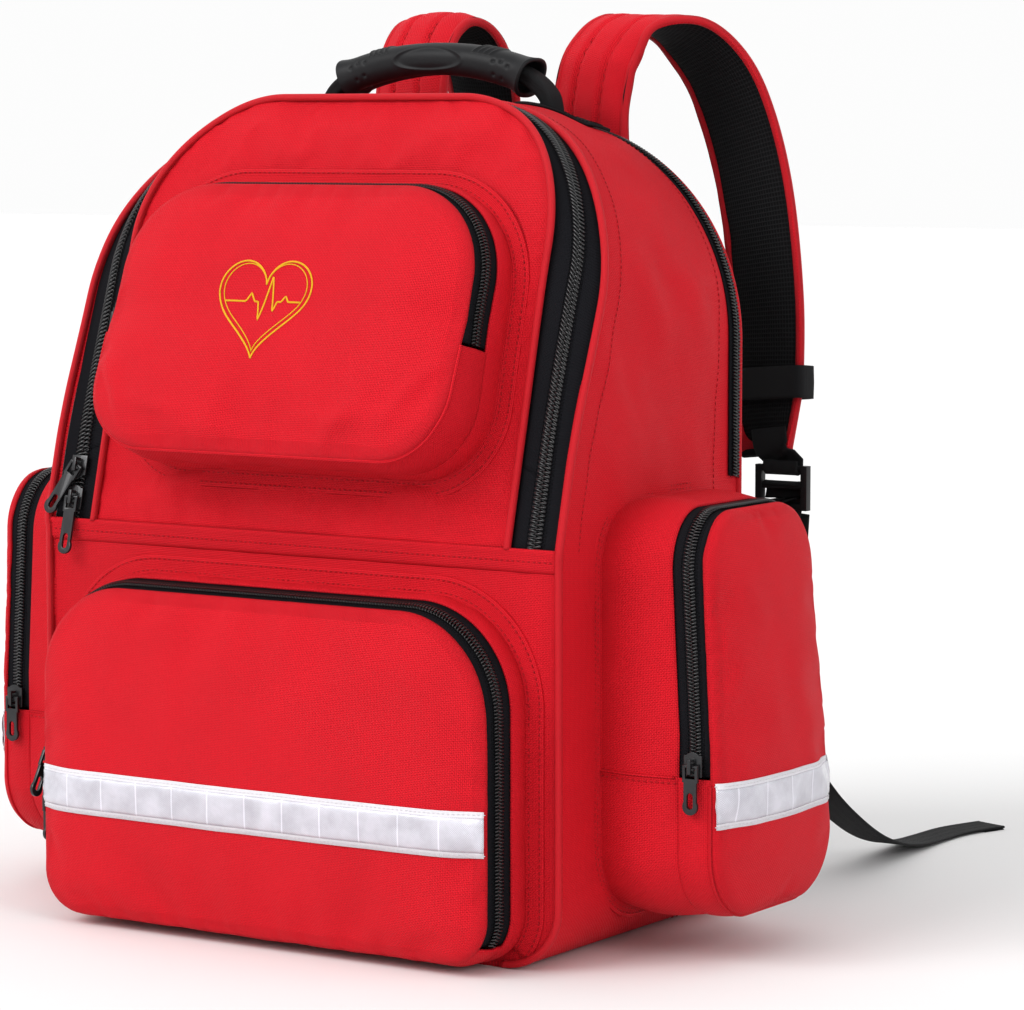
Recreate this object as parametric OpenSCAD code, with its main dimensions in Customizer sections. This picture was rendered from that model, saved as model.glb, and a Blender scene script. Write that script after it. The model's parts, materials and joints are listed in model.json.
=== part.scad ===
// Trauma backpack. Millimetres, +Z up, +X to the right seen from the front, front faces -Y.
// The origin is the middle of the base, on the surface that the bag stands on.

/* [Body] */
// Width across the two side gussets
body_w = 346; // [336:1:356]
// Height of the arch at the back wall
back_h = 450; // [446:1:456]
// Depth from the front wall to the back wall
body_d = 190; // [186:1:194]
// Radius of the arch's shoulders
arch_r = 120; // [110:1:130]
// Thickness of the padded walls
wall = 4; // [3:0.5:5]

/* [Front flap] */
// Height of the seam that the front flap folds along
seam_z = 226; // [224:1:228]
// Half width of the front flap, to its piping
flap_half = 141; // [138:1:143]
// Height of the top of the front flap
flap_top = 466; // [462:1:467]
// Radius of the flap's shoulders
flap_r = 80; // [70:1:90]

/* [Pockets] */
// Depth of the lower front pocket
low_pocket_d = 42; // [40:1:46]
// Depth of the upper front pocket, square to the flap
up_pocket_d = 44; // [42:1:48]
// How far a side pocket stands out
side_pocket_d = 78; // [74:1:82]
// Thickness of the pocket covers
cover_t = 4; // [3:0.5:5]

/* [Straps] */
// Width of a shoulder pad
pad_w = 58; // [52:1:60]
// Thickness of a shoulder pad
pad_t = 12; // [10:1:13]
// Width of the strap webbing and of the reflective tape
webbing_w = 25; // [24:1:26]
// Thickness of the strap webbing
webbing_t = 1.6; // [1.2:0.1:1.8]

/* [Hidden] */
$fn = 48;

red = "#e0202a";
black = "#1a1a1c";
grey = "#55585c";
silver = "#d8d8e0";

// Body: half sizes, the arch's slope towards the back, and the rounding of the base
half_w = body_w / 2;
half_d = body_d / 2;
arch_tilt = 9;
base_r = 35;
base_chamfer = 15;
gap = 0.3;

// Front face: it stands upright to the seam, leans back to the knee, and further to the crown
knee_z = 420;
crown_z = 470;
knee_y = -half_d + 48;
crown_y = -half_d + 81.5;
lean = atan((knee_y + half_d) / (knee_z - seam_z));
// Front edge of the gusset over the top, where the zip lies on the top of the bag
gusset_crown_z = 465;
gusset_crown_y = half_d - 85;

// Zips: tape, the coil beside its middle, and the slot that a slider's post runs in
tape_t = 0.8;
slot_half = 0.9;
coil_w = 2.3;
coil_t = 1.8;
zip_fixed_z = 264;

// Pockets: [half width, low, high, top radius, low radius]
low_pocket = [153, 4, 199, 58, 28];
up_pocket = [121, 40, 197, 58, 38];
side_pocket = [65, 26, 249, 36, 40];
side_pocket_y = 9;
pocket_wall = 2.5;
// How far the coil's middle lies behind the face of a pocket
coil_back = 17.5;
up_fold = 104;
low_fold_z = 10;
side_fold_z = 107;
low_front_y = -half_d - low_pocket_d;
side_out = half_w + side_pocket_d;

// Straps: the middle of each shoulder pad, from its seam on the bag to its buckle
pad_path_right = [
  [65, 109, 436], [66, 109, 466], [72, 112, 492], [85, 124, 509], [104, 144, 506], [119, 160, 486],
  [130, 169, 455], [141, 172, 409], [149, 171, 350], [152, 167, 300], [155, 161, 262]
];
pad_path_left = [
  [-62, 109, 436], [-61, 109, 466], [-59, 112, 494], [-56, 126, 512], [-50, 145, 509],
  [-46, 161, 486], [-48, 170, 450], [-62, 173, 400], [-84, 171, 345], [-106, 167, 300],
  [-124, 161, 262]
];
lock_right = [168, 157, 242];
lock_left = [-138, 157, 242];
anchor_x = 150;
anchor_z = 46;
// Free webbing tails, from the buckle to the floor. The left one turns back under the bag's rear
tail_path_right = [
  [169, 165, 227], [167, 166, 205], [164, 167, 175], [161, 169, 140], [160, 172, 112],
  [163, 180, 84], [170, 199, 58], [171, 230, 37], [167, 268, 20], [163, 305, 9],
  [160, 340, 3.4], [158, 370, 1.6], [160, 402, 1.6], [170, 434, 1.6]
];
tail_path_left = [
  [-138, 165, 227], [-137, 168, 205], [-135, 172, 175], [-131, 176, 145], [-126, 180, 112],
  [-120, 184, 80], [-112, 188, 52], [-101, 191, 28], [-85, 193, 11], [-65, 194, 3.5],
  [-40, 194, 1.6], [-12, 193, 1.6], [12, 191, 1.6]
];

// Handle: the arc of the grip's middle
grip_r = 185;
grip_low = 304.5;
grip_y = 50;
grip_half_angle = 19.6;
grip_half_t = 11;
grip_spread = 4;
core_r = 7.5;
handle_pivot = [74, 50, 461];

// Zip sliders
slider_l = 17;
slider_w = 11;
slider_plate = 1.2;

// ---------- shared shapes ----------

function inset(s, d) = [s[0] - d, s[1] + d, s[2] - d, s[3] - d, s[4] - d];

// Outline of a panel that stands on y = low, with four round corners
module outline(s) {
  middle = (s[1] + s[2]) / 2;
  translate([-s[0], s[1] + s[4]]) square([2 * s[0], s[2] - s[1] - s[3] - s[4]]);
  translate([-s[0] + s[3], middle]) square([2 * (s[0] - s[3]), s[2] - middle]);
  translate([-s[0] + s[4], s[1]]) square([2 * (s[0] - s[4]), middle - s[1]]);
  for (side = [-1, 1]) {
    translate([side * (s[0] - s[3]), s[2] - s[3]]) circle(s[3]);
    translate([side * (s[0] - s[4]), s[1] + s[4]]) circle(s[4]);
  }
}

// That outline as an upright plate from y_front back to y_back
module plate(s, y_front, y_back) {
  translate([0, y_back, 0]) rotate([90, 0, 0]) linear_extrude(y_back - y_front) outline(s);
}

module band(s, y_front, y_back, t) {
  difference() {
    plate(s, y_front, y_back);
    plate(inset(s, t), y_front - 1, y_back + 1);
  }
}

// Block between two corners
module block(low, high) {
  translate(low) cube(high - low);
}

// Side view outline, drawn in y and z, run across the whole width
module across(points) {
  rotate([90, 0, 90]) linear_extrude(2 * side_out, center = true) polygon(points);
}

// Solid through a list of rings, each with the same number of points
module skin(rings) {
  n = len(rings);
  m = len(rings[0]);
  points = [for (r = rings) each r];
  sides = [for (i = [0:n - 2]) for (j = [0:m - 1]) each [
    [i * m + j, (i + 1) * m + j, i * m + (j + 1) % m],
    [i * m + (j + 1) % m, (i + 1) * m + j, (i + 1) * m + (j + 1) % m]
  ]];
  caps = [[for (j = [0:m - 1]) j], [for (j = [0:m - 1]) (n - 1) * m + m - 1 - j]];
  polyhedron(points, concat(sides, caps), convexity = 6);
}

function unit(v) = v / norm(v);
function tangent(p, i) = unit(p[min(i + 1, len(p) - 1)] - p[max(i - 1, 0)]);

// Catmull-Rom curve through the points, with k steps between each two
function smooth(p, k) = concat(
  [for (i = [0:len(p) - 2]) for (s = [0:k - 1]) let (
    t = s / k, a = p[max(i - 1, 0)], b = p[i], c = p[i + 1], d = p[min(i + 2, len(p) - 1)]
  ) 0.5 * (2 * b + (c - a) * t + (2 * a - 5 * b + 4 * c - d) * t * t
    + (3 * b - a - 3 * c + d) * t * t * t)],
  [p[len(p) - 1]]
);

// Flat strap along a path: the wide side lies along the across vector, and w may change along it
module strap(path, widths, t, side) {
  skin([for (i = [0:len(path) - 1]) let (
    along = tangent(path, i), normal = unit(cross(along, side)), wide = cross(normal, along),
    w = widths[i] / 2, h = t / 2, r = min(h * 0.8, w)
  ) [for (c = [[w, h - r], [w - r, h], [r - w, h], [-w, h - r], [-w, r - h], [r - w, -h],
    [w - r, -h], [w, r - h]]) path[i] + wide * c[0] + normal * c[1]]]);
}

// ---------- body ----------

// Front face of the bag at a height, and the front edge of its gusset
function face_y(z) = z < seam_z ? -half_d
  : z < knee_z ? -half_d + (knee_y + half_d) * (z - seam_z) / (knee_z - seam_z)
  : knee_y + (crown_y - knee_y) * (z - knee_z) / (crown_z - knee_z);
function gusset_y(z) = z < knee_z ? face_y(z) + 2
  : knee_y + 2 + (gusset_crown_y - knee_y - 2) * (z - knee_z) / (gusset_crown_z - knee_z);

high = 520;
function face_line(back) = [
  [face_y(0) + back, -20], [face_y(0) + back, seam_z], [knee_y + back, knee_z],
  [face_y(high) + back, high]
];

// Arch over the bag, inset by d, sloping down towards the back
module arch_prism(d) {
  translate([0, half_d, 0]) rotate([-arch_tilt, 0, 0])
    plate([half_w - d, -200, back_h * cos(arch_tilt) - d, arch_r - d, 1], -260, 60);
}

module body_solid(d) {
  c = base_chamfer;
  intersection() {
    arch_prism(d);
    plate([half_w - d, d, high, 1, base_r - d], -half_d - 5, half_d + 5);
    across(concat(
      [[-half_d + d, seam_z], [knee_y + d, knee_z], [face_y(high) + d, high]],
      [[half_d - d, high], [half_d - d, c + d], [half_d - c - d, d]],
      [[-half_d + c + d, d], [-half_d + d, c + d]]
    ));
  }
}

// Everything in front of the gusset's front edge
module gusset_cut(back) {
  across(concat(
    [[-half_d - 60, -20], [-half_d + wall + back, -20], [-half_d + wall + back, seam_z]],
    [for (i = [0:half_path]) [gusset_edge(i)[1] + 2 + back, gusset_edge(i)[2]]],
    [[gusset_y(high) + back, high], [-half_d - 60, high]]
  ));
}

// Space behind the front flap, where the body has no wall
module flap_opening() {
  intersection() {
    arch_prism(wall);
    plate([half_w - wall, seam_z, high, 1, 1], -half_d - 5, half_d);
    across(concat(face_line(wall + 1), [[-half_d - 60, high], [-half_d - 60, -20]]));
  }
}

module body_shell() {
  color(red) difference() {
    body_solid(0);
    body_solid(wall);
    gusset_cut(gap);
    flap_opening();
  }
}

rear_wall_y = 62;
lining_out = wall + gap;
lining_t = 1.2;

module body_lining() {
  color(grey) difference() {
    body_solid(lining_out);
    body_solid(lining_out + lining_t);
    gusset_cut(4);
    block([-200, rear_wall_y - gap, -10], [200, 200, high]);
  }
}

module base_board() {
  z = lining_out + lining_t + gap;
  color(black) block([-135, -half_d + 22, z], [135, rear_wall_y - 2, z + 3]);
}

module back_stiffener() {
  color(black) plate([150, 26, 425, 110, 20], half_d - wall - 3.3, half_d - wall - 0.8);
}

// Padding of the wearer's side: two columns and a lumbar cushion
module back_pads() {
  color(black) {
    for (side = [-1, 1])
      translate([side * 74, 0, 0]) plate([50, 132, 404, 42, 16], half_d + gap, half_d + 12);
    plate([130, 44, 118, 22, 22], half_d + gap, half_d + 15);
  }
}

module rear_divider() {
  color(black) intersection() {
    body_solid(wall + 2);
    block([-200, rear_wall_y, 0], [200, rear_wall_y + 4, high]);
  }
}

module padded_divider() {
  color(grey) block([-3, -half_d + 38, 12], [3, rear_wall_y - 1, 330]);
}

module lower_front_panel() {
  color(red) intersection() {
    body_solid(0);
    block([-200, -half_d - 1, 0], [200, -half_d + wall, seam_z]);
  }
}

// ---------- main zip ----------

// Piping edge of the flap and front edge of the gusset, from the right end over the top. The first
// stretch, up to zip_fixed_z, stays closed under the sliders.
arc_steps = 12;
side_points = 3;
side_z = [seam_z + 1, zip_fixed_z, zip_fixed_z + 1.5];
half_path = side_points + arc_steps;
function arc_angle(i) = 90 * (i - side_points) / arc_steps;
function flap_edge(i) = i < side_points
  ? [flap_half, face_y(side_z[i]), side_z[i]]
  : let (a = arc_angle(i), z = flap_top - flap_r + flap_r * sin(a))
    [flap_half - flap_r + flap_r * cos(a), face_y(z), z];
function arch_foot_z(y) = back_h - arch_r + (half_d - y) * tan(arch_tilt);
// Height at which the gusset's front edge crosses the arch, found by repeated substitution
function crossing_z(a, n = 6, z = knee_z) = n == 0 ? z
  : crossing_z(a, n - 1, arch_foot_z(gusset_y(z)) + arch_r * sin(a));
function gusset_edge(i) = i < side_points
  ? [half_w - 1, gusset_y(side_z[i]) - 2, side_z[i]]
  : let (a = arc_angle(i), z = crossing_z(a))
    [half_w - arch_r + (arch_r - 1) * cos(a), gusset_y(z) - 2, z - sin(a)];
function outward(i) = i < side_points ? [1, 0, 0] : [cos(arc_angle(i)), 0, sin(arc_angle(i))];

// A half line with its mirror image on the left
function whole(half) = concat(half, [for (i = [len(half) - 1:-1:0])
  [-half[i][0], half[i][1], half[i][2]]]);
flap_line = whole([for (i = [0:half_path]) flap_edge(i)]);
gusset_line = whole([for (i = [0:half_path]) gusset_edge(i)]);
out_line = whole([for (i = [0:half_path]) outward(i)]);
middle_line = (flap_line + gusset_line) / 2;
last_point = len(flap_line) - 1;
band_w = half_w - 1 - flap_half;

// One half of the zip from one point of the lines to another: its tape, with the coil along it.
// side is 1 for the body's half, and -1 for the flap's.
slot_share = slot_half / band_w;
coil_share = (slot_half + coil_w) / band_w;
tape_share = 0.45;
tape_outline = [
  [slot_share, -coil_t / 2], [slot_share, coil_t / 2], [coil_share, coil_t / 2],
  [coil_share, tape_t], [tape_share, tape_t], [tape_share, 0], [coil_share, 0],
  [coil_share, -coil_t / 2]
];
module band_tape(side, from, to) {
  corners = [for (k = [0:7]) tape_outline[side > 0 ? k : 7 - k]];
  color(black) skin([for (i = [from:to]) let (
    across = gusset_line[i] - flap_line[i], inward = unit(cross(tangent(middle_line, i), across))
  ) [for (c = corners) middle_line[i] + across * side * c[0] + inward * c[1]]]);
}

// The body's half, and the ends of the flap's half that stay closed under the sliders
module main_zip_body_tape() {
  band_tape(1, 0, last_point);
  band_tape(-1, 0, 1);
  band_tape(-1, last_point - 1, last_point);
}
module flap_zip_tape() {
  band_tape(-1, 2, last_point - 2);
}

// Round cord along a line, with six sides
module bead(line, r) {
  color(red) skin([for (i = [0:len(line) - 1]) let (
    along = tangent(line, i), out = unit(cross(along, [0.2, 1, 0])), up = cross(along, out)
  ) [for (a = [0:60:300]) line[i] + r * (out * cos(a) + up * sin(a))]]);
}

piping_r = 1.8;
module body_piping() {
  bead([for (i = [0:last_point]) gusset_line[i] + out_line[i] * 2.6 + [0, 0.3, 0]], piping_r);
}
module flap_piping() {
  bead([for (p = flap_line) p + [0, -2.2, 0]], piping_r);
}

// ---------- front flap ----------

module flap_slab(front, back) {
  across(concat(
    [[-half_d + front, seam_z + 1], [knee_y + front, knee_z], [face_y(high) + front, high]],
    [[face_y(high) + back, high], [knee_y + back, knee_z], [-half_d + back, seam_z + 1]]
  ));
}

module flap_panel() {
  color(red) intersection() {
    plate([flap_half - 0.5, seam_z + 1, flap_top - 4, flap_r - 2, 1], -half_d - 5, 40);
    flap_slab(0, wall);
  }
}

module flap_lining() {
  color(grey) intersection() {
    plate([flap_half - 14, seam_z + 12, flap_top - 14, flap_r - 14, 4], -half_d - 5, 40);
    flap_slab(wall + gap, wall + 2);
  }
}

// Frame of the flap: +Z runs up its face and -Y points out of it
module on_flap() {
  translate([0, -half_d, seam_z]) rotate([-lean, 0, 0]) children();
}

// ---------- pockets ----------

// Gusset of a pocket: its red wall, closed below by a floor that reaches the cover
module pocket_gusset(s, base_y, front_y, fold) {
  band(s, front_y + coil_back + slot_half + coil_w + 1.5, base_y, pocket_wall);
  intersection() {
    band(s, front_y + cover_t + gap, base_y, pocket_wall);
    block([-300, -300, s[1]], [300, 300, fold - 2]);
  }
}

// The half of a pocket's zip that is sewn to the gusset, or to the cover
module pocket_tape(s, near_y, far_y, coil_y, fold) {
  difference() {
    union() {
      band(inset(s, 0.6), near_y, far_y, tape_t);
      band(inset(s, 0.6 - coil_t / 2), coil_y, coil_y + coil_w, coil_t);
    }
    block([-300, -300, -300], [300, 300, fold]);
  }
}
module gusset_tape(s, front_y, fold) {
  y = front_y + coil_back;
  pocket_tape(s, y + slot_half, y + slot_half + coil_w + 1.2, y + slot_half, fold);
}
module cover_tape(s, front_y, fold) {
  y = front_y + coil_back;
  pocket_tape(s, front_y + cover_t + gap, y - slot_half, y - slot_half - coil_w, fold);
}

module cover(s, front_y, low, high) {
  intersection() {
    plate(s, front_y, front_y + cover_t);
    block([-300, -300, low], [300, 300, high]);
  }
}

low_tape_z = 16;
module lower_pocket_gusset() {
  color(red) pocket_gusset(low_pocket, -half_d - gap, low_front_y, low_fold_z);
}
module lower_zip_gusset_tape() {
  color(black) gusset_tape(low_pocket, low_front_y, low_tape_z);
}
module lower_pocket_cover() {
  color(red) cover(low_pocket, low_front_y, low_fold_z, high);
}
module lower_zip_cover_tape() {
  color(black) cover_tape(low_pocket, low_front_y, low_tape_z);
}

reflector_t = 1;
low_reflector_z = 66;
side_reflector_z = 79;
module front_reflector() {
  color(silver) block([-low_pocket[0] + 1, low_front_y - gap - reflector_t, low_reflector_z],
    [low_pocket[0] - 1, low_front_y - gap, low_reflector_z + webbing_w]);
}

up_front = -up_pocket_d;
module upper_pocket_gusset() {
  color(red) on_flap() {
    pocket_gusset(up_pocket, -gap, up_front, up_fold);
    cover(up_pocket, up_front, 0, up_fold - 1);
  }
}
module upper_zip_gusset_tape() {
  color(black) on_flap() gusset_tape(up_pocket, up_front, up_fold);
}
module upper_pocket_cover() {
  color(red) on_flap() cover(up_pocket, up_front, up_fold, high);
}
module upper_zip_cover_tape() {
  color(black) on_flap() cover_tape(up_pocket, up_front, up_fold);
}

// Frame of a side pocket: +Z up and -Y out of the bag's side
module on_side(side) {
  translate([0, side_pocket_y, 0]) rotate([0, 0, side * 90]) children();
}

module side_pocket_shell(side) {
  color(red) on_side(side) {
    pocket_gusset(side_pocket, -half_w - gap, -side_out, side_fold_z);
    cover(side_pocket, -side_out, 0, side_fold_z - 1);
  }
}
module side_zip_gusset_tapes() {
  color(black) for (side = [-1, 1]) on_side(side) gusset_tape(side_pocket, -side_out, side_fold_z);
}
module side_cover(side) {
  on_side(side) {
    color(red) cover(side_pocket, -side_out, side_fold_z, high);
    color(black) cover_tape(side_pocket, -side_out, side_fold_z);
  }
}
module side_reflectors() {
  color(silver) for (side = [-1, 1]) on_side(side)
    block([-side_pocket[0] + 1, -side_out - gap - reflector_t, side_reflector_z],
      [side_pocket[0] - 1, -side_out - gap, side_reflector_z + webbing_w]);
}

// Zip of the rear compartment, closed, over the edge of the back wall
rear_zip_z = 248;
module rear_zip() {
  color(black) difference() {
    intersection() {
      arch_prism(-1.4);
      block([-200, half_d - 10, rear_zip_z], [200, half_d - 1, high]);
    }
    arch_prism(-0.2);
  }
}

// ---------- carrying ----------

module handle_patches() {
  color(black) difference() {
    intersection() {
      arch_prism(-1.8);
      for (side = [-1, 1]) translate([side * 80, 0, 0]) block([-25, 58, 400], [25, 80, high]);
    }
    arch_prism(-0.3);
  }
}

module grip_sweep(angle, hollow_r) {
  translate([0, grip_y, grip_low]) rotate([90, 0, 0]) rotate([0, 0, 90 - angle])
    rotate_extrude(angle = 2 * angle) translate([grip_r, 0]) {
      if (hollow_r > 0) circle(hollow_r);
      else difference() {
        union() {
          for (side = [-1, 1]) translate([0, side * grip_spread]) circle(grip_half_t);
          square([2 * grip_half_t, 2 * grip_spread], center = true);
        }
        circle(core_r + gap);
      }
    }
}

module handle_grip() {
  color(black) grip_sweep(grip_half_angle, 0);
}

core_angle = 21.5;
module handle_webbing() {
  end = [grip_r * sin(core_angle), grip_y, grip_low + grip_r * cos(core_angle)];
  along = handle_pivot + [0, 0, 5] - end;
  color(black) {
    grip_sweep(core_angle, core_r);
    for (side = [0, 1]) mirror([side, 0, 0]) translate(end)
      rotate([0, acos(along[2] / norm(along)), atan2(along[1], along[0])])
        cylinder(h = norm(along), r = core_r - 1.5);
  }
}

module strap_yoke() {
  color(black) plate([112, 408, 434, 8, 8], half_d + gap, half_d + 2.5);
}

pad_side = [1, -0.22, 0];
pad_steps = 3;
pad_count = (len(pad_path_right) - 1) * pad_steps + 1;
function pad_width(i) = let (share = i / (pad_count - 1))
  share < 0.3 ? pad_w : share < 0.9 ? pad_w - 10 * (share - 0.3) : pad_w - 6 - 160 * (share - 0.9);
module shoulder_pad(path) {
  color(red) strap(smooth(path, pad_steps), [for (i = [0:pad_count - 1]) pad_width(i)], pad_t,
    pad_side);
}

keeper_at = 27;
keeper_h = 18;
module strap_keeper(path) {
  line = smooth(path, pad_steps);
  along = unit(line[keeper_at - 1] - line[keeper_at + 1]);
  lean_x = asin(-along[1]);
  lean_y = atan2(along[0], along[2]);
  color(black) translate(line[keeper_at]) rotate([0, lean_y, 0]) rotate([lean_x, 0, 0])
    rotate([0, 0, atan(pad_side[1])]) difference() {
      cube([pad_w + 6, pad_t + 7, keeper_h], center = true);
      cube([pad_w + 3, pad_t + 4, keeper_h + 2], center = true);
    }
}

// Three-bar buckle at the foot of a shoulder pad
module ladder_lock(place) {
  color(black) translate(place) {
    for (side = [-1, 1]) translate([side * 15, 0, 0]) cube([4, 5, 26], center = true);
    for (z = [-11, 1, 11]) translate([-15, 0, z]) rotate([0, 90, 0]) cylinder(h = 30, r = 2);
  }
}

// Triangle sewn into the seam at the bag's foot, which holds the lower webbing
module lower_anchor() {
  color(red) translate([anchor_x, half_d + gap, 0]) rotate([90, 0, 180])
    linear_extrude(4.5) polygon([[-26, 22], [22, 18], [15, 48], [-15, 48]]);
}
module lower_anchors() {
  for (side = [0, 1]) mirror([side, 0, 0]) lower_anchor();
}

// Webbing from the anchor up to the buckle
module lower_webbing(side, lock) {
  start = [side * anchor_x, half_d + 6.5, anchor_z];
  end = lock + [0, 0, -16];
  color(black) strap(smooth([start, (start + end) / 2 + [0, 3, 0], end], 5),
    [for (i = [0:10]) webbing_w], webbing_t, [1, 0, 0]);
}
module lower_webbings() {
  lower_webbing(1, lock_right);
  lower_webbing(-1, lock_left);
}

// turn is the angle that the wide side has turned by about the vertical where the tail lies on the floor
module strap_tail(path, turn) {
  line = smooth(path, 2);
  last = len(line) - 1;
  color(black) skin([for (i = [0:last]) let (
    a = turn * min(1, max(0, (i / last - 0.15) / 0.5)), side = [cos(a), sin(a), 0],
    along = tangent(line, i), normal = unit(cross(along, side)), wide = cross(normal, along),
    w = webbing_w / 2, h = webbing_t / 2
  ) [for (c = [[w, h], [0, h], [-w, h], [-w, -h], [0, -h], [w, -h]])
    line[i] + wide * c[0] + normal * c[1]]]);
}

// ---------- zip sliders and pulls ----------

crown_out = 4.7;
crown_half = 4;
arm_x = 3.4;

// Slider: two wings joined by a post in the slot between the coils, with a crown for the pull
module slider() {
  top = -coil_t / 2 - 0.5;
  low = coil_t / 2 + tape_t + 0.4;
  color(black) {
    for (y = [top, low + slider_plate]) translate([0, y, 0]) rotate([90, 0, 0])
      linear_extrude(slider_plate) {
        square([slider_w, slider_l - slider_w / 2], center = true);
        translate([0, slider_l / 2 - slider_w / 2 - 1]) circle(slider_w / 2);
      }
    block([-0.5, top - 0.1, 2], [0.5, low + 0.1, 6]);
    difference() {
      block([-1.1, top - slider_plate - 4.6, -crown_half], [1.1, top - 0.6, crown_half]);
      block([-2, top - slider_plate - 3.4, -crown_half + 1.4],
        [2, top - slider_plate + 0.01, crown_half - 1.4]);
    }
  }
}

// The upper pull of a pair leans sideways, clear of the lower one
pull_lean = 30;
// Pull: a bar under the crown, two arms, and a long tab with a finger hole
module pull(length) {
  y = -crown_out;
  color(black) {
    translate([-arm_x - 1.2, y, 0]) rotate([0, 90, 0]) cylinder(h = 2 * arm_x + 2.4, r = 0.9);
    for (side = [-1, 1]) translate([side * (arm_x + 0.4), y, -4]) cube([1.6, 1.7, 9], center = true);
    translate([0, y + 0.85, 0]) rotate([90, 0, 0]) linear_extrude(1.7) difference() {
      union() {
        translate([-3.8, -length + 4.5]) square([7.6, length - 11]);
        translate([0, -length + 4.5]) circle(4.5);
      }
      for (z = [-length + 5, -length + 10]) translate([0, z]) circle(1.9);
      translate([-1.9, -length + 5]) square([3.8, 5]);
    }
  }
}

// Places a child on one of the zips. The frame's -Y points out of the tape, its +Z along it.
low_coil_y = low_front_y + coil_back;
module on_main(up) {
  on_flap() translate([-(flap_half + half_w - 1) / 2, 0, up]) children();
}
module on_lower(z) {
  translate([-low_pocket[0] + 0.6, low_coil_y, z]) rotate([0, 0, -90]) children();
}
module on_upper() {
  on_flap() translate([-up_pocket[0] + 0.6, up_front + coil_back, 116]) rotate([0, 0, -90])
    children();
}
module on_side_zip(side) {
  on_side(side) translate([-side * (side_pocket[0] - 0.6), -side_out + coil_back, 113])
    rotate([0, 0, -side * 90]) children();
}
module on_rear() {
  translate([-half_w - 5, half_d - 5.5, 262]) rotate([0, 0, -90]) children();
}

body_shell();
body_lining();
base_board();
back_stiffener();
back_pads();
rear_divider();
padded_divider();
lower_front_panel();
body_piping();
rear_zip();
main_zip_body_tape();
lower_pocket_gusset();
lower_zip_gusset_tape();
side_pocket_shell(-1);  // side_pocket_left
side_pocket_shell(1);  // side_pocket_right
side_zip_gusset_tapes();
side_reflectors();
handle_patches();
strap_yoke();
lower_anchors();
lower_webbings();
flap_panel();
flap_piping();
flap_zip_tape();
flap_lining();
upper_pocket_gusset();
upper_zip_gusset_tape();
upper_pocket_cover();
upper_zip_cover_tape();
lower_pocket_cover();
lower_zip_cover_tape();
front_reflector();
side_cover(-1);  // side_cover_left
side_cover(1);  // side_cover_right
handle_grip();
handle_webbing();
shoulder_pad(pad_path_left);  // shoulder_pad_left
shoulder_pad(pad_path_right);  // shoulder_pad_right
ladder_lock(lock_left);  // ladder_lock_left
ladder_lock(lock_right);  // ladder_lock_right
strap_tail(tail_path_left, 90);  // strap_tail_left
strap_tail(tail_path_right, 0);  // strap_tail_right
strap_keeper(pad_path_left);  // strap_keeper_left
strap_keeper(pad_path_right);  // strap_keeper_right
on_main(13) slider();  // slider_main_low
on_main(32) mirror([0, 0, 1]) slider();  // slider_main_high
on_upper() slider();  // slider_upper
on_lower(70) slider();  // slider_lower_low
on_lower(94) mirror([0, 0, 1]) slider();  // slider_lower_high
on_side_zip(-1) slider();  // slider_side_left
on_side_zip(1) slider();  // slider_side_right
on_rear() slider();  // slider_rear
on_main(13) pull(33);  // pull_main_low
on_main(32) rotate([0, pull_lean, 0]) pull(33);  // pull_main_high
on_upper() pull(26);  // pull_upper
on_lower(70) pull(26);  // pull_lower_low
on_lower(94) rotate([0, -pull_lean, 0]) pull(26);  // pull_lower_high
on_side_zip(-1) pull(26);  // pull_side_left
on_side_zip(1) pull(26);  // pull_side_right
on_rear() pull(26);  // pull_rear
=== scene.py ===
"""Looks of the trauma backpack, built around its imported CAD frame. Lengths below are millimetres
in the row frame, and become metres where a mesh is made."""

import json
import math

import bmesh
import bpy
import numpy as np
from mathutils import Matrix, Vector
from mathutils.bvhtree import BVHTree

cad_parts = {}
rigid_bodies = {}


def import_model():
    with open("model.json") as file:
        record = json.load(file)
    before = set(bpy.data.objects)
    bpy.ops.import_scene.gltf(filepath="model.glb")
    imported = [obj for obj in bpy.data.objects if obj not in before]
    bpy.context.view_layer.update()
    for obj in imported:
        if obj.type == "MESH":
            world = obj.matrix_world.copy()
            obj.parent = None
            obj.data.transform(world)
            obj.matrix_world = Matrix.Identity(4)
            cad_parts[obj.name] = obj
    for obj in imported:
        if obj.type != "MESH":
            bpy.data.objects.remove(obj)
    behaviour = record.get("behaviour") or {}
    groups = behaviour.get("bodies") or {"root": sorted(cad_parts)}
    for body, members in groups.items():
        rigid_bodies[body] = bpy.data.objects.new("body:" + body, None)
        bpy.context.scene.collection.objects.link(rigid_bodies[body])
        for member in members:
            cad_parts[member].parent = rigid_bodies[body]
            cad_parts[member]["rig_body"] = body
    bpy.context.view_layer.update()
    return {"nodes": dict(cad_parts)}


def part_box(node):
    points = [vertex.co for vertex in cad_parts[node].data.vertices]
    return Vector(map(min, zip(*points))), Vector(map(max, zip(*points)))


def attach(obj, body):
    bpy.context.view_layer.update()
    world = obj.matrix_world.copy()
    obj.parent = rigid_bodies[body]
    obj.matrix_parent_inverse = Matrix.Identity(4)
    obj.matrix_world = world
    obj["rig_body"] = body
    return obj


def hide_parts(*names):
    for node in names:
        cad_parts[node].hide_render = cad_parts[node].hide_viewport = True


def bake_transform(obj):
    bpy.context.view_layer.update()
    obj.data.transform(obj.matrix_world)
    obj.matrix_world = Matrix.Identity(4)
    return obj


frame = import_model()
MM = 0.001


def corners(node):
    low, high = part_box(node)
    return np.array(low) / MM, np.array(high) / MM


# ---------------------------------------------------------------- arrays and meshes


def unit(v):
    return v / np.maximum(np.linalg.norm(v, axis=-1, keepdims=True), 1e-9)


def xyz(x, y, z):
    """Points from coordinates that are arrays or single numbers."""
    return np.stack(np.broadcast_arrays(x, y, z), -1).astype(float)


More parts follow.
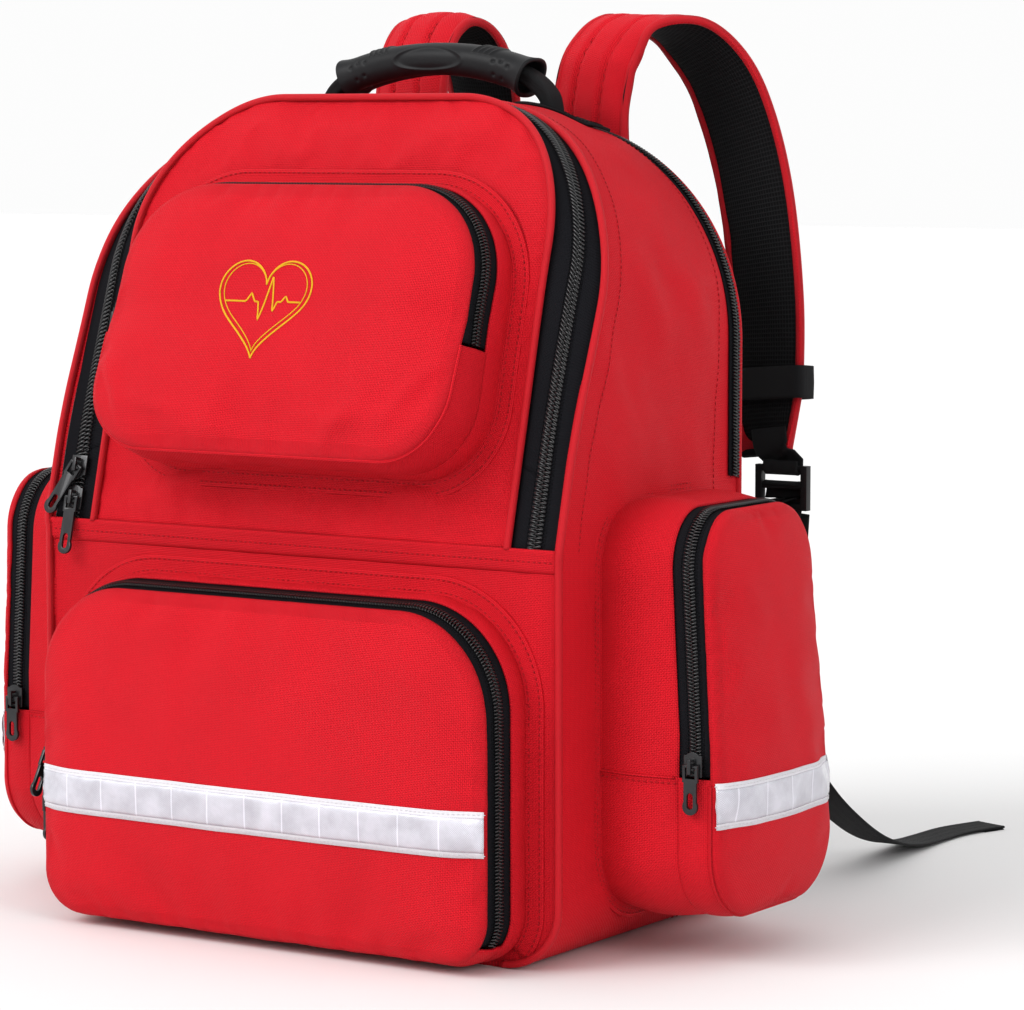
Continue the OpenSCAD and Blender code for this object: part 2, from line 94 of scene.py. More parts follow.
def flanked(half):
    """A line from the right side to the middle, carried on to the left as its mirror image."""
    half = np.array(half, float)
    return np.vstack([half, half[:-1][::-1] * [-1, 1, 1]])


def ramp(z, foot, length, height):
    """Rises from nothing at foot to height over a length, and stays level before and after."""
    return np.clip((np.asarray(z, float) - foot) / length, 0, 1) * height


def stretch_of(keep):
    """Indices of a ring's one unbroken stretch of true values, in order."""
    first = int(np.flatnonzero(keep & ~np.roll(keep, 1))[0])
    return [(first + k) % len(keep) for k in range(int(keep.sum()))]


def smooth_path(points, steps):
    """Catmull-Rom curve through the points, the same one that the CAD straps follow."""
    p = np.array(points, float)
    ends = np.vstack([p[0], p, p[-1]])
    t = np.linspace(0, 1, steps, endpoint=False)[:, None]
    parts = []
    for i in range(len(p) - 1):
        a, b, c, d = ends[i:i + 4]
        parts.append(0.5 * (2 * b + (c - a) * t + (2 * a - 5 * b + 4 * c - d) * t ** 2
                            + (3 * b - a - 3 * c + d) * t ** 3))
    return np.vstack(parts + [p[-1:]])


def lengths(line):
    return np.concatenate([[0], np.cumsum(np.linalg.norm(np.diff(line, axis=0), axis=1))])


def sample(at, run, values):
    """Rows of values, known at the lengths run, read at other lengths."""
    return np.stack([np.interp(at, run, column) for column in values.T], 1)


def resample(line, step, *others):
    """The line at even spacing, with other arrays, or single vectors, along it."""
    line = np.array(line, float)
    run = lengths(line)
    at = np.linspace(0, run[-1], max(2, int(round(run[-1] / step)) + 1))
    out = [sample(at, run, line)]
    for other in others:
        other = np.array(other, float)
        out.append(sample(at, run, other if other.ndim > 1 else np.tile(other, (len(line), 1))))
    return out if others else out[0]


def tangents(line):
    return unit(np.gradient(line, axis=0))


def cell_noise(points, size, seed):
    """Smooth value noise from -1 to 1 with cells of that size."""
    q = points / size + seed * 17.31
    base = np.floor(q).astype(np.int64)
    f = q - base
    f = f * f * (3 - 2 * f)
    total = np.zeros(points.shape[:-1])
    for corner in np.ndindex(2, 2, 2):
        c = base + np.array(corner)
        h = (c[..., 0] * 73856093) ^ (c[..., 1] * 19349663) ^ (c[..., 2] * 83492791)
        h = (h * 2654435761 + seed * 97) & 0xFFFFFF
        h = (h ^ (h >> 11)) * 40503 & 0xFFFFFF
        weight = np.prod(np.where(np.array(corner) == 1, f, 1 - f), axis=-1)
        total += weight * (h / 0x7FFFFF - 1)
    return total


def wrinkles(points, size, seed):
    return cell_noise(points, size, seed) + 0.5 * cell_noise(points, size * 0.47, seed + 5)


def grid_normals(p):
    """Normals of a grid of points, pointing along (column direction) x (row direction)."""
    return unit(np.cross(np.gradient(p, axis=1), np.gradient(p, axis=0)))


def grid_uv(p):
    """Texture coordinates of a grid in its own lengths, so that the weave keeps its size."""
    across = np.linalg.norm(np.diff(p, axis=1), axis=2).mean(0)
    up = np.linalg.norm(np.diff(p, axis=0), axis=2).mean(1)
    return np.stack(np.meshgrid(np.r_[0, np.cumsum(across)], np.r_[0, np.cumsum(up)]), -1)


def plain_mesh(name, points, faces):
    mesh = bpy.data.meshes.new(name)
    mesh.from_pydata((np.asarray(points, float).reshape(-1, 3) * MM).tolist(), [],
                     [list(map(int, f)) for f in faces])
    mesh.update()
    return mesh


def linked(name, data):
    """A new object in the scene."""
    thing = bpy.data.objects.new(name, data)
    bpy.context.scene.collection.objects.link(thing)
    return thing


def read_points(mesh):
    """Vertices of a mesh, in millimetres."""
    flat = np.zeros(len(mesh.vertices) * 3)
    mesh.vertices.foreach_get("co", flat)
    return flat.reshape(-1, 3) / MM


def write_points(mesh, points):
    mesh.vertices.foreach_set("co", (points * MM).ravel())
    mesh.update()


def make(name, points, faces, uv, materials, face_material=None):
    """A mesh object from arrays. faces is a list of quads or of polygons of any size."""
    mesh = plain_mesh(name, points, faces)
    layer = mesh.uv_layers.new(name="weave")
    loop_vertex = np.zeros(len(mesh.loops), np.int32)
    mesh.loops.foreach_get("vertex_index", loop_vertex)
    flat = np.asarray(uv, float).reshape(-1, 2) * 0.01
    layer.data.foreach_set("uv", flat[loop_vertex].ravel())
    for m in materials:
        mesh.materials.append(m)
    if face_material is not None:
        mesh.polygons.foreach_set("material_index", np.asarray(face_material, np.int32))
    mesh.polygons.foreach_set("use_smooth", np.full(len(mesh.polygons), True))
    mesh.update()
    return linked(name, mesh)


def grid_faces(rows, columns, wrap=False):
    """Quads of a grid stored row by row. wrap joins the last row to the first."""
    r = np.arange(rows if wrap else rows - 1)[:, None]
    c = np.arange(columns - 1)[None, :]
    a, b = r * columns + c, (r + 1) % rows * columns + c
    return np.stack([a, a + 1, b + 1, b], -1).reshape(-1, 4)


def solid_sheet(name, p, thickness, materials, uv=None, normals=None, closed=False):
    """Fabric of some thickness whose outer face is the grid p, as one closed solid. The first
    material is for the outer face and the edges, the last for the inner face. closed says that
    the grid's columns run in a ring."""
    inner = p - np.array(grid_normals(p) if normals is None else normals) * thickness
    rows, columns = p.shape[:2]
    points = np.vstack([p, inner[::-1]])
    uv = grid_uv(p) if uv is None else uv
    both = np.vstack([uv, uv[::-1]])
    if closed:
        points = np.concatenate([points, points[:, :1]], 1)
        both = np.concatenate([both, both[:, -1:] + (both[:, -1:] - both[:, -2:-1])], 1)
        columns += 1
    faces = grid_faces(2 * rows, columns, wrap=True)
    index = np.zeros((2 * rows, columns - 1), int)
    index[rows:-1] = len(materials) - 1
    index = index.reshape(-1)
    if not closed:
        r = np.arange(rows - 1)
        last = 2 * rows - 1
        for c, flip in ((0, False), (columns - 1, True)):
            cap = np.stack([r * columns + c, (r + 1) * columns + c,
                            (last - r - 1) * columns + c, (last - r) * columns + c], -1)
            faces = np.vstack([faces, cap[:, ::-1] if flip else cap])
            index = np.concatenate([index, np.zeros(rows - 1, int)])
    piece = make(name, points, faces, both, materials, index)
    if closed:
        weld(piece)
    return piece


def weld(piece):
    """Joins the vertices that lie on each other, as where a ring closes."""
    work = bmesh.new()
    work.from_mesh(piece.data)
    bmesh.ops.remove_doubles(work, verts=work.verts, dist=0.00002)
    work.to_mesh(piece.data)
    work.free()


def tube(name, line, section, wide, thick, material):
    """Sweeps closed section points (n x 2) along a line, with frame vectors wide and thick."""
    p = line[:, None] + wide[:, None] * section[:, :1] + thick[:, None] * section[:, 1:]
    return closed_rings(name, p, material)


def closed_rings(name, p, material):
    """Surface through rings of points, each ring closed, with flat ends."""
    rings, count = p.shape[:2]
    uv = grid_uv(np.concatenate([p, p[:, :1]], 1))
    row = np.arange(rings - 1)[:, None] * count
    a, b = row + np.arange(count), row + (np.arange(count) + 1) % count
    faces = np.stack([a, b, b + count, a + count], -1).reshape(-1, 4).tolist()
    faces.append(list(range(count))[::-1])
    faces.append(list(range((rings - 1) * count, rings * count)))
    return make(name, p, faces, uv[:, :-1], [material])


def round_section(width, height, count, power=2.0):
    a = np.linspace(0, 2 * math.pi, count, endpoint=False)
    c, s = np.cos(a), np.sin(a)
    return np.stack([np.sign(c) * np.abs(c) ** (2 / power) * width / 2,
                     np.sign(s) * np.abs(s) ** (2 / power) * height / 2], 1)


def many(name, shape, faces, places, axes, material):
    """Copies of one small shape (n x 3) at each place, turned by axes (m x 3 x 3), in one mesh."""
    shape = np.asarray(shape, float)
    p = np.einsum("nk,mkj->mnj", shape, axes) + places[:, None, :]
    count = len(shape)
    all_faces = [[v + i * count for v in f] for i in range(len(places)) for f in faces]
    return make(name, p, all_faces, p.reshape(-1, 3)[:, :2], [material])


def settle(piece):
    """Applies the modifiers of a piece to its mesh."""
    graph = bpy.context.evaluated_depsgraph_get()
    mesh = bpy.data.meshes.new_from_object(piece.evaluated_get(graph))
    piece.modifiers.clear()
    piece.data = mesh
    return piece


def frames_along(line, normals):
    """Axes at each point: along the line, sideways, and the normal made square to the line."""
    along = tangents(line)
    side = unit(np.cross(normals, along))
    return np.stack([along, side, np.cross(along, side)], 1)


# ---------------------------------------------------------------- how pieces ride


def fabric(piece, body, *nodes, slot="shell_fabric"):
    """Rides a piece on a body, in the place of CAD nodes if any are named."""
    if nodes:
        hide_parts(*nodes)
    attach(piece, body)


def bending(piece, a, b, start, end, *nodes, slot="shell_fabric"):
    """Hides the CAD nodes if any are named, and bakes the piece's place into its mesh; the piece rides
    on no body. The bodies a and b, start and end are not used.
    """
    if nodes:
        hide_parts(*nodes)
    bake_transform(piece)


# ---------------------------------------------------------------- materials

# Width of one welded cell of the reflective tape
TAPE_CELL = 25.2


class Field:
    """A number that varies over a surface. Arithmetic on it adds math nodes to its look."""

    def __init__(self, look, socket):
        self.look, self.socket = look, socket

    def __add__(self, other):
        return self.look.math("ADD", self, other)

    def __sub__(self, other):
        return self.look.math("SUBTRACT", self, other)

    def __rsub__(self, other):
        return self.look.math("SUBTRACT", other, self)

    def __mul__(self, other):
        return self.look.math("MULTIPLY", self, other)

    def __truediv__(self, other):
        return self.look.math("DIVIDE", self, other)

    def __abs__(self):
        return self.look.math("ABSOLUTE", self)

    def wave(self, length):
        """Sine that crosses zero once in each length."""
        return self.look.math("SINE", self * (math.pi / length))


class Look:
    """A material being made. Lengths in its arithmetic are millimetres."""

    def __init__(self, name, colour, roughness, metallic=0.0, sheen=0.0, coat=0.0, gloss=0.5):
        self.material = bpy.data.materials.new(name)
        self.material.use_nodes = True
        self.tree = self.material.node_tree
        self.surface = self.tree.nodes["Principled BSDF"].inputs
        self.colour = colour
        for key, value in (("Base Color", (*colour, 1)), ("Roughness", roughness),
                           ("Metallic", metallic), ("Sheen Weight", sheen),
                           ("Coat Weight", coat), ("Specular IOR Level", gloss)):
            self.feed(self.surface[key], value)

    def feed(self, socket, value):
        if isinstance(value, Field):
            self.tree.links.new(value.socket, socket)
        elif value is not None:
            socket.default_value = value

    def add(self, kind, inputs, output=0, **settings):
        """A new node fed with numbers, colours or fields."""
        node = self.tree.nodes.new("ShaderNode" + kind)
        for key, value in settings.items():
            setattr(node, key, value)
        for key, value in inputs.items():
            self.feed(node.inputs[key], value)
        return Field(self, node.outputs[output])

    def math(self, operation, a, b=None):
        return self.add("Math", {0: a, 1: b}, operation=operation)

    def mix(self, share, a, b):
        """A number mixed from a to b by share."""
        return self.add("Mix", {0: share, 2: a, 3: b}, data_type="FLOAT")

    def noise(self, scale, detail=3.0, roughness=0.55):
        place = self.add("TexCoord", {}, "Object")
        return self.add("TexNoise", {"Scale": scale, "Detail": detail, "Roughness": roughness,
                                     "Vector": place})

    def weave(self):
        """Millimetres across and along the cloth."""
        across = self.add("SeparateXYZ", {0: self.add("UVMap", {}, uv_map="weave")})
        along = Field(self, across.socket.node.outputs[1])
        return across * 100.0, along * 100.0

    def threads(self, pitch, twill):
        """Height from 0 to 1 of threads that pass over and under each other. twill shifts each
        row."""
        u, v = self.weave()
        along = v / pitch
        shifted = u / pitch + along * twill
        cells = self.math("FLOOR", shifted) + self.math("FLOOR", along)
        over = abs(self.math("MODULO", cells, 2.0))
        return self.mix(over, abs(shifted.wave(1)), abs(along.wave(1)))

    def tint(self, dark, light, share):
        """Base colour between two shades of the look's colour."""
        shades = {0: share, 6: (*[c * dark for c in self.colour], 1),
                  7: (*[min(1, c * light + 0.004 * light) for c in self.colour], 1)}
        self.feed(self.surface["Base Color"], self.add("Mix", shades, 2, data_type="RGBA"))

    def bump(self, height, distance):
        self.feed(self.surface["Normal"],
                  self.add("Bump", {"Distance": distance, "Strength": 1.0, "Height": height}))


def woven(name, colour, pitch, roughness, depth=0.00012, twill=0.0, sheen=0.25, spread=0.25,
          gloss=0.3):
    """Cloth: threads with painted shade in their hollows, uneven dye, and a little sheen."""
    look = Look(name, colour, roughness, sheen=sheen, gloss=gloss)
    height = look.threads(pitch, twill)
    fine, patches = look.noise(900.0, 2.0), look.noise(22.0, 4.0)
    # Base colour darker where the threads and the fine fuzz lie low: painted shade in the weave's
    # hollows. The broad patches are uneven dye.
    look.tint(1 - spread, 1 + spread * 0.6, height * 0.45 + fine * 0.25 + patches * 0.3)
    look.bump(height + fine * 0.5, depth)
    look.feed(look.surface["Roughness"], look.mix(patches, roughness - 0.06, roughness + 0.08))
    look.surface["Sheen Roughness"].default_value = 0.4
    look.surface["Sheen Tint"].default_value = (
        *[0.25 + 0.75 * c / max(colour) for c in colour], 1)
    return look.material


def ribbed(name, colour, pitch, roughness, depth):
    """Webbing: lengthwise ribs crossed by the weft in a chevron, with painted shade in their hollows.
    """
    look = Look(name, colour, roughness, gloss=0.2)
    u, v = look.weave()
    chevron = look.math("PINGPONG", u, 3.2)
    weft = abs((v + chevron * 0.8).wave(pitch))
    height = weft * (abs(u.wave(pitch * 0.8)) * 0.6 + 0.4)
    # Base colour darker in the hollows of ribs and weft: painted shade.
    look.tint(0.6, 1.9, height)
    look.bump(height, depth)
    return look.material


def air_mesh(name, colour):
    """Spacer mesh: small open cells in staggered rows, with painted shade in the open cells."""
    look = Look(name, colour, 0.8, gloss=0.06)
    u, v = look.weave()
    rim = 1.0 - look.math("SMOOTH_MIN", abs(u.wave(2.6) * v.wave(2.0)), 0.6)
    # Base colour much darker in the middles of the open cells: painted shade.
    look.tint(0.25, 3.0, rim)
    look.bump(rim, 0.0009)
    return look.material


def moulded(name, colour, roughness, grain=350.0, depth=0.00006, coat=0.0, metallic=0.0,
            gloss=0.5):
    """Moulded or enamelled surface with a fine grain and random lighter, rougher marks."""
    look = Look(name, colour, roughness, metallic=metallic, coat=coat, gloss=gloss)
    marks = look.noise(60.0, 6.0, 0.7)
    look.tint(0.75, 1.5, marks)
    look.feed(look.surface["Roughness"], look.mix(marks, roughness - 0.08, roughness + 0.15))
    look.bump(look.noise(grain), depth)
    return look.material


def reflective(name):
    """Prismatic vinyl: welded cells with a fine diamond grain, and a milky, glossy face."""
    look = Look(name, (0.7, 0.7, 0.74), 0.18, metallic=0.25, coat=0.6)
    look.colour = (0.62, 0.61, 0.67)
    u, v = look.weave()
    weld = look.math("LESS_THAN", look.math("PINGPONG", u, TAPE_CELL / 2), 0.45)
    diamond = abs((u + v).wave(1.1) * (u - v).wave(1.1))
    clouds = look.noise(55.0)
    share = (diamond * 0.3 + clouds * 0.7) * 1.5 + -0.35 + weld * 0.45
    look.tint(0.68, 1.35, look.add("Clamp", {"Value": share}))
    look.bump(diamond * 0.08 + clouds, 0.0011)
    return look.material


red = woven("red_polyester", (0.66, 0.0044, 0.0175), 0.95, 0.62, depth=0.00034, sheen=0.04,
            spread=0.36, gloss=0.22)
red_piping = woven("red_piping", (0.58, 0.004, 0.015), 0.7, 0.55, depth=0.0002, sheen=0.06)
red_thread = woven("red_thread", (0.46, 0.004, 0.011), 0.3, 0.5, sheen=0.1)
grey_lining = woven("grey_lining", (0.16, 0.165, 0.175), 0.5, 0.7)
black_tape = woven("zip_tape_black", (0.011, 0.011, 0.014), 0.8, 0.75, depth=0.00022, twill=0.5,
                   sheen=0.0, spread=0.4, gloss=0.05)
black_cloth = woven("black_cloth", (0.011, 0.011, 0.013), 0.9, 0.75, depth=0.0002, twill=0.5,
                    sheen=0.0, spread=0.4, gloss=0.05)
webbing = ribbed("webbing_black", (0.006, 0.006, 0.007), 0.9, 0.65, 0.0003)
mesh_cloth = air_mesh("air_mesh_black", (0.003, 0.003, 0.0035))
coil_nylon = moulded("coil_nylon", (0.012, 0.012, 0.013), 0.28, 500.0, 0.00002, coat=0.3)
enamel = moulded("slider_enamel", (0.016, 0.016, 0.018), 0.3, 500.0, 0.00003, coat=0.35,
                 metallic=0.35)
plastic = moulded("buckle_plastic", (0.006, 0.006, 0.007), 0.42, 420.0, 0.00004)
grip_rubber = moulded("grip_rubber", (0.006, 0.0062, 0.0074), 0.46, 650.0, 0.00005, gloss=0.26)
board = moulded("stiffener_board", (0.03, 0.03, 0.034), 0.5)
vinyl = reflective("reflective_vinyl")
vinyl_edge = woven("reflective_edge", (0.78, 0.76, 0.80), 0.6, 0.45, sheen=0.1, spread=0.15)
white_thread = woven("white_thread", (0.75, 0.73, 0.76), 0.3, 0.55)
yellow_thread = woven("yellow_thread", (0.86, 0.50, 0.012), 0.28, 0.42, sheen=0.1, spread=0.2)

# ---------------------------------------------------------------- the body's shape

_, shell_high = corners("body_shell")
front_low, front_high = corners("lower_front_panel")
HALF_W = shell_high[0]
FRONT = front_low[1]
BACK = shell_high[1]
SEAM = front_high[2]
ARCH_R = 120.0  # corner of the gusset's arch
BACK_H = 450.0  # height of the arch at the back
TILT = math.tan(math.radians(9))  # rise of the arch towards the front
LEAN = math.atan(48 / 194)  # of the flap, back from upright
BASE_R = 35.0  # corner of the base
ZIP_FIXED = 264.0  # height below which the main zip stays closed on the bag
FLAP_HALF, FLAP_TOP, FLAP_R = 141.0, 467.0, 80.0

# Height and depth of the front face up its middle, and of the gusset's front edge
FACE = np.array([(0, -95), (226, -95), (262, -86.2), (300, -76.8), (340, -67), (370, -59.3),
                 (393, -52.5), (412, -45), (429, -36.5), (440, -30), (450, -23.5), (459, -18),
                 (466, -15.5), (475, -14)], float)
EDGE_BACK = np.array([(0, 0), (275, 0), (300, 2), (340, 8), (375, 12), (400, 14), (420, 16.5),
                      (435, 19), (447, 21.5), (455, 23.5), (461, 25), (466, 27), (480, 27)], float)


def softened(table, spread=9.0):
    """Table of height and value as a smooth function."""
    z = np.arange(-20, 520, 1.0)
    y = np.interp(z, table[:, 0], table[:, 1])
    k = np.exp(-0.5 * (np.arange(-30, 31) / spread) ** 2)
    padded = np.concatenate([np.full(30, y[0]), y, np.full(30, y[-1])])
    smooth = np.convolve(padded, k / k.sum(), "valid")
    return lambda at: np.interp(at, z, smooth)


face_soft = softened(FACE, 8.0)
edge_soft = softened(EDGE_BACK, 5.0)


def face_y(z):
    """Front face; the fold at the seam stays sharp."""
    z = np.asarray(z, float)
    straight = FRONT + (z - SEAM) * math.tan(LEAN)
    blend = np.clip((z - 300) / 40, 0, 1)
    upper = straight * (1 - blend) + face_soft(z) * blend
    return np.where(z <= SEAM, FRONT, upper)


def edge_y(z):
    return face_y(z) + edge_soft(z)


def arch_foot(y):
    return BACK_H - ARCH_R + (BACK - y) * TILT


def flap_half(z):
    """Half width of the flap at a height."""
    up = np.clip(np.asarray(z, float) - (FLAP_TOP - FLAP_R), 0, FLAP_R)
    return FLAP_HALF - FLAP_R + np.sqrt(FLAP_R ** 2 - up ** 2)


def band_lines(count=170):
    """Outer edge of the flap and front edge of the gusset, from the right seam over the top to the
    left seam, with the outward direction in the plane of the arch."""
    flap, gusset, out = [], [], []
    side = np.linspace(0, 1, count // 3)[:-1]
    turn = np.linspace(0, math.pi / 2, count // 3)
    top = np.linspace(1, 0, count // 6 + 1)[1:]
    flap_foot = FLAP_TOP - FLAP_R
    gusset_foot = 400.0
    for _ in range(12):
        gusset_foot = arch_foot(edge_y(gusset_foot))
    for s in side:
        z = SEAM + (flap_foot - SEAM) * s
        flap.append((FLAP_HALF, face_y(z), z))
        z = SEAM + (gusset_foot - SEAM) * s
        gusset.append((HALF_W, edge_y(z), z))
        out.append((1, 0, 0))
    for a in turn:
        z = flap_foot + FLAP_R * math.sin(a)
        flap.append((FLAP_HALF - FLAP_R + FLAP_R * math.cos(a), face_y(z), z))
        z = 400.0
        for _ in range(12):
            z = arch_foot(edge_y(z)) + ARCH_R * math.sin(a)
        gusset.append((HALF_W - ARCH_R + ARCH_R * math.cos(a), edge_y(z), z))
        out.append((math.cos(a), 0, math.sin(a)))
    for s in top:
        for half in (flap, gusset):
            crown = half[len(side) + len(turn) - 1]
            half.append((crown[0] * s, *crown[1:]))
        out.append((0, 0, 1))
    return flanked(flap), flanked(gusset), flanked(out)


flap_line, gusset_line, out_line = band_lines()

# ---------------------------------------------------------------- cloth simulation

# Settings of all the filled cloth: stiff enough to keep its shape, and slow to swing
CLOTH = dict(vertex_group_mass="pin", quality=6, mass=0.2, tension_stiffness=25,
             compression_stiffness=12, shear_stiffness=8, bending_stiffness=12.0,
             tension_damping=10, compression_damping=10, shear_damping=10, air_damping=2,
             use_pressure=True)


def inflate(start, faces, pinned, pressure, cap, slack, frames=20):
    """Fills a sheet with air while its pinned points hold still, and returns its points.
    Nothing moves further than cap."""
    mesh = plain_mesh("cloth", start, faces)
    piece = linked("cloth", mesh)
    group = piece.vertex_groups.new(name="pin")
    for i in np.flatnonzero(pinned):
        group.add([int(i)], 1.0, "REPLACE")
    cloth = piece.modifiers.new("cloth", "CLOTH")
    for key, value in CLOTH.items():
        setattr(cloth.settings, key, value)
    cloth.settings.shrink_min = cloth.settings.shrink_max = -slack
    cloth.settings.uniform_pressure_force = pressure
    cloth.settings.effector_weights.gravity = 0
    cloth.collision_settings.use_collision = False
    cloth.point_cache.frame_start = 1
    cloth.point_cache.frame_end = frames
    for f in range(1, frames + 1):
        bpy.context.scene.frame_set(f)
    done = piece.evaluated_get(bpy.context.evaluated_depsgraph_get()).to_mesh()
    move = read_points(done) - start
    bpy.data.objects.remove(piece)
    bpy.data.meshes.remove(mesh)
    bpy.context.scene.frame_set(1)
    size = np.linalg.norm(move, axis=1, keepdims=True)
    limit = cap * np.tanh(size / cap)
    return start + move * np.where(size > 1e-6, limit / np.maximum(size, 1e-6), 0)


# ---------------------------------------------------------------- stitches, beads and zips


STITCH = np.array([(-1.15, 0, -0.1), (-0.5, 0.33, 0.1), (0.5, 0.33, 0.1), (1.15, 0, -0.1),
                   (0.5, -0.33, 0.1), (-0.5, -0.33, 0.1), (-0.45, 0, 0.36), (0.45, 0, 0.36),
                   (0, 0, -0.4)])
STITCH_FACES = [(0, 6, 1), (1, 6, 7, 2), (2, 7, 3), (3, 7, 4), (4, 7, 6, 5), (5, 6, 0),
                (0, 1, 8), (1, 2, 8), (2, 3, 8), (3, 4, 8), (4, 5, 8), (5, 0, 8)]


def stitches(name, line, normals, thread, pitch=3.4, scale=1.0):
    """A row of stitches along a line that lies on a surface."""
    line, normals = resample(line, pitch, normals)
    axes = frames_along(line, unit(normals))
    return many(name, STITCH * scale, STITCH_FACES, line, axes, thread)


def bead(name, line, radius, thread, sides=10):
    """Piping: cloth wrapped round a cord."""
    line = resample(line, 2.0)
    along = tangents(line)
    wide = unit(np.cross(along, np.array([0.13, 0.98, 0.11])))
    section = round_section(2 * radius, 2 * radius, sides)
    return tube(name, line, section, wide, np.cross(wide, along), thread)


def coil(name, line, toward, normals, width, wire, pitch, phase, turns=7):
    """One half of a zip's coil: a flattened spiral along the line, reaching width toward its
    tape."""
    line, toward, normals = resample(line, pitch / turns, toward, normals)
    a = 2 * math.pi * (np.arange(len(line)) / turns + phase)
    flat = np.sign(np.cos(a)) * np.abs(np.cos(a)) ** 0.8
    centre = line + unit(toward) * (width / 2 * (1 - flat) + (-0.35))[:, None] \
        + unit(normals) * (np.sin(a) * 0.85 + 0.1)[:, None]
    along = tangents(centre)
    wide = unit(np.cross(along, unit(normals) + 0.01))
    return tube(name, centre, round_section(wire, wire, 5), wide, np.cross(wide, along),
                coil_nylon)


def zip_half(name, line, toward, normals, width, body, *nodes, big=False, phase=0.0):
    """Tape and coil of one half of a zip, riding on a body. The line is the zip's middle, and the
    tape stands for the nodes."""
    width = np.broadcast_to(np.asarray(width, float), len(line))[:, None]
    line, toward, normals, width = resample(line, 3.0, toward, normals, width)
    toward, normals = unit(toward), unit(normals)
    sag = np.array([-0.9, -0.9, -0.8, -0.7, -0.5])
    reach = [0.9, 1.6, 3.2, width * 0.6, width]
    grid = np.stack([line + toward * r + normals * s for r, s in zip(reach, sag)], 0)
    tape = solid_sheet(name + "_tape", grid, 0.7, [black_tape], normals=normals)
    pitch, wire, span = (2.4, 1.2, 4.6) if big else (1.9, 0.95, 3.6)
    teeth = coil(name + "_coil", line, toward, normals, span, wire, pitch, phase)
    thread_line = line + toward * (span + 1.1) + normals * -0.6
    seam = stitches(name + "_stitches", thread_line, normals, black_cloth, 2.2, 0.8)
    fabric(tape, body, *nodes, slot="zip_tape")
    for piece in (teeth, seam):
        fabric(piece, body, slot="zip_tape")


def refined(node, width, look, slot_name):
    """A carried-over CAD piece with its edges rounded off."""
    source = frame["nodes"][node]
    piece = linked(node + "_moulded", source.data.copy())
    work = bmesh.new()
    work.from_mesh(piece.data)
    bmesh.ops.remove_doubles(work, verts=work.verts, dist=0.00001)
    bmesh.ops.dissolve_limit(work, angle_limit=math.radians(2), verts=work.verts,
                             edges=work.edges)
    work.to_mesh(piece.data)
    work.free()
    edge = piece.modifiers.new("edge", "BEVEL")
    edge.width = width * MM
    edge.segments = 3
    edge.limit_method = "ANGLE"
    edge.angle_limit = math.radians(32)
    edge.harden_normals = False
    settle(piece)
    piece.data.materials.clear()
    piece.data.materials.append(look)
    for polygon in piece.data.polygons:
        polygon.use_smooth = True
    piece.data.set_sharp_from_angle(angle=math.radians(40))
    fabric(piece, source["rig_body"], node, slot=slot_name)


# ---------------------------------------------------------------- pockets


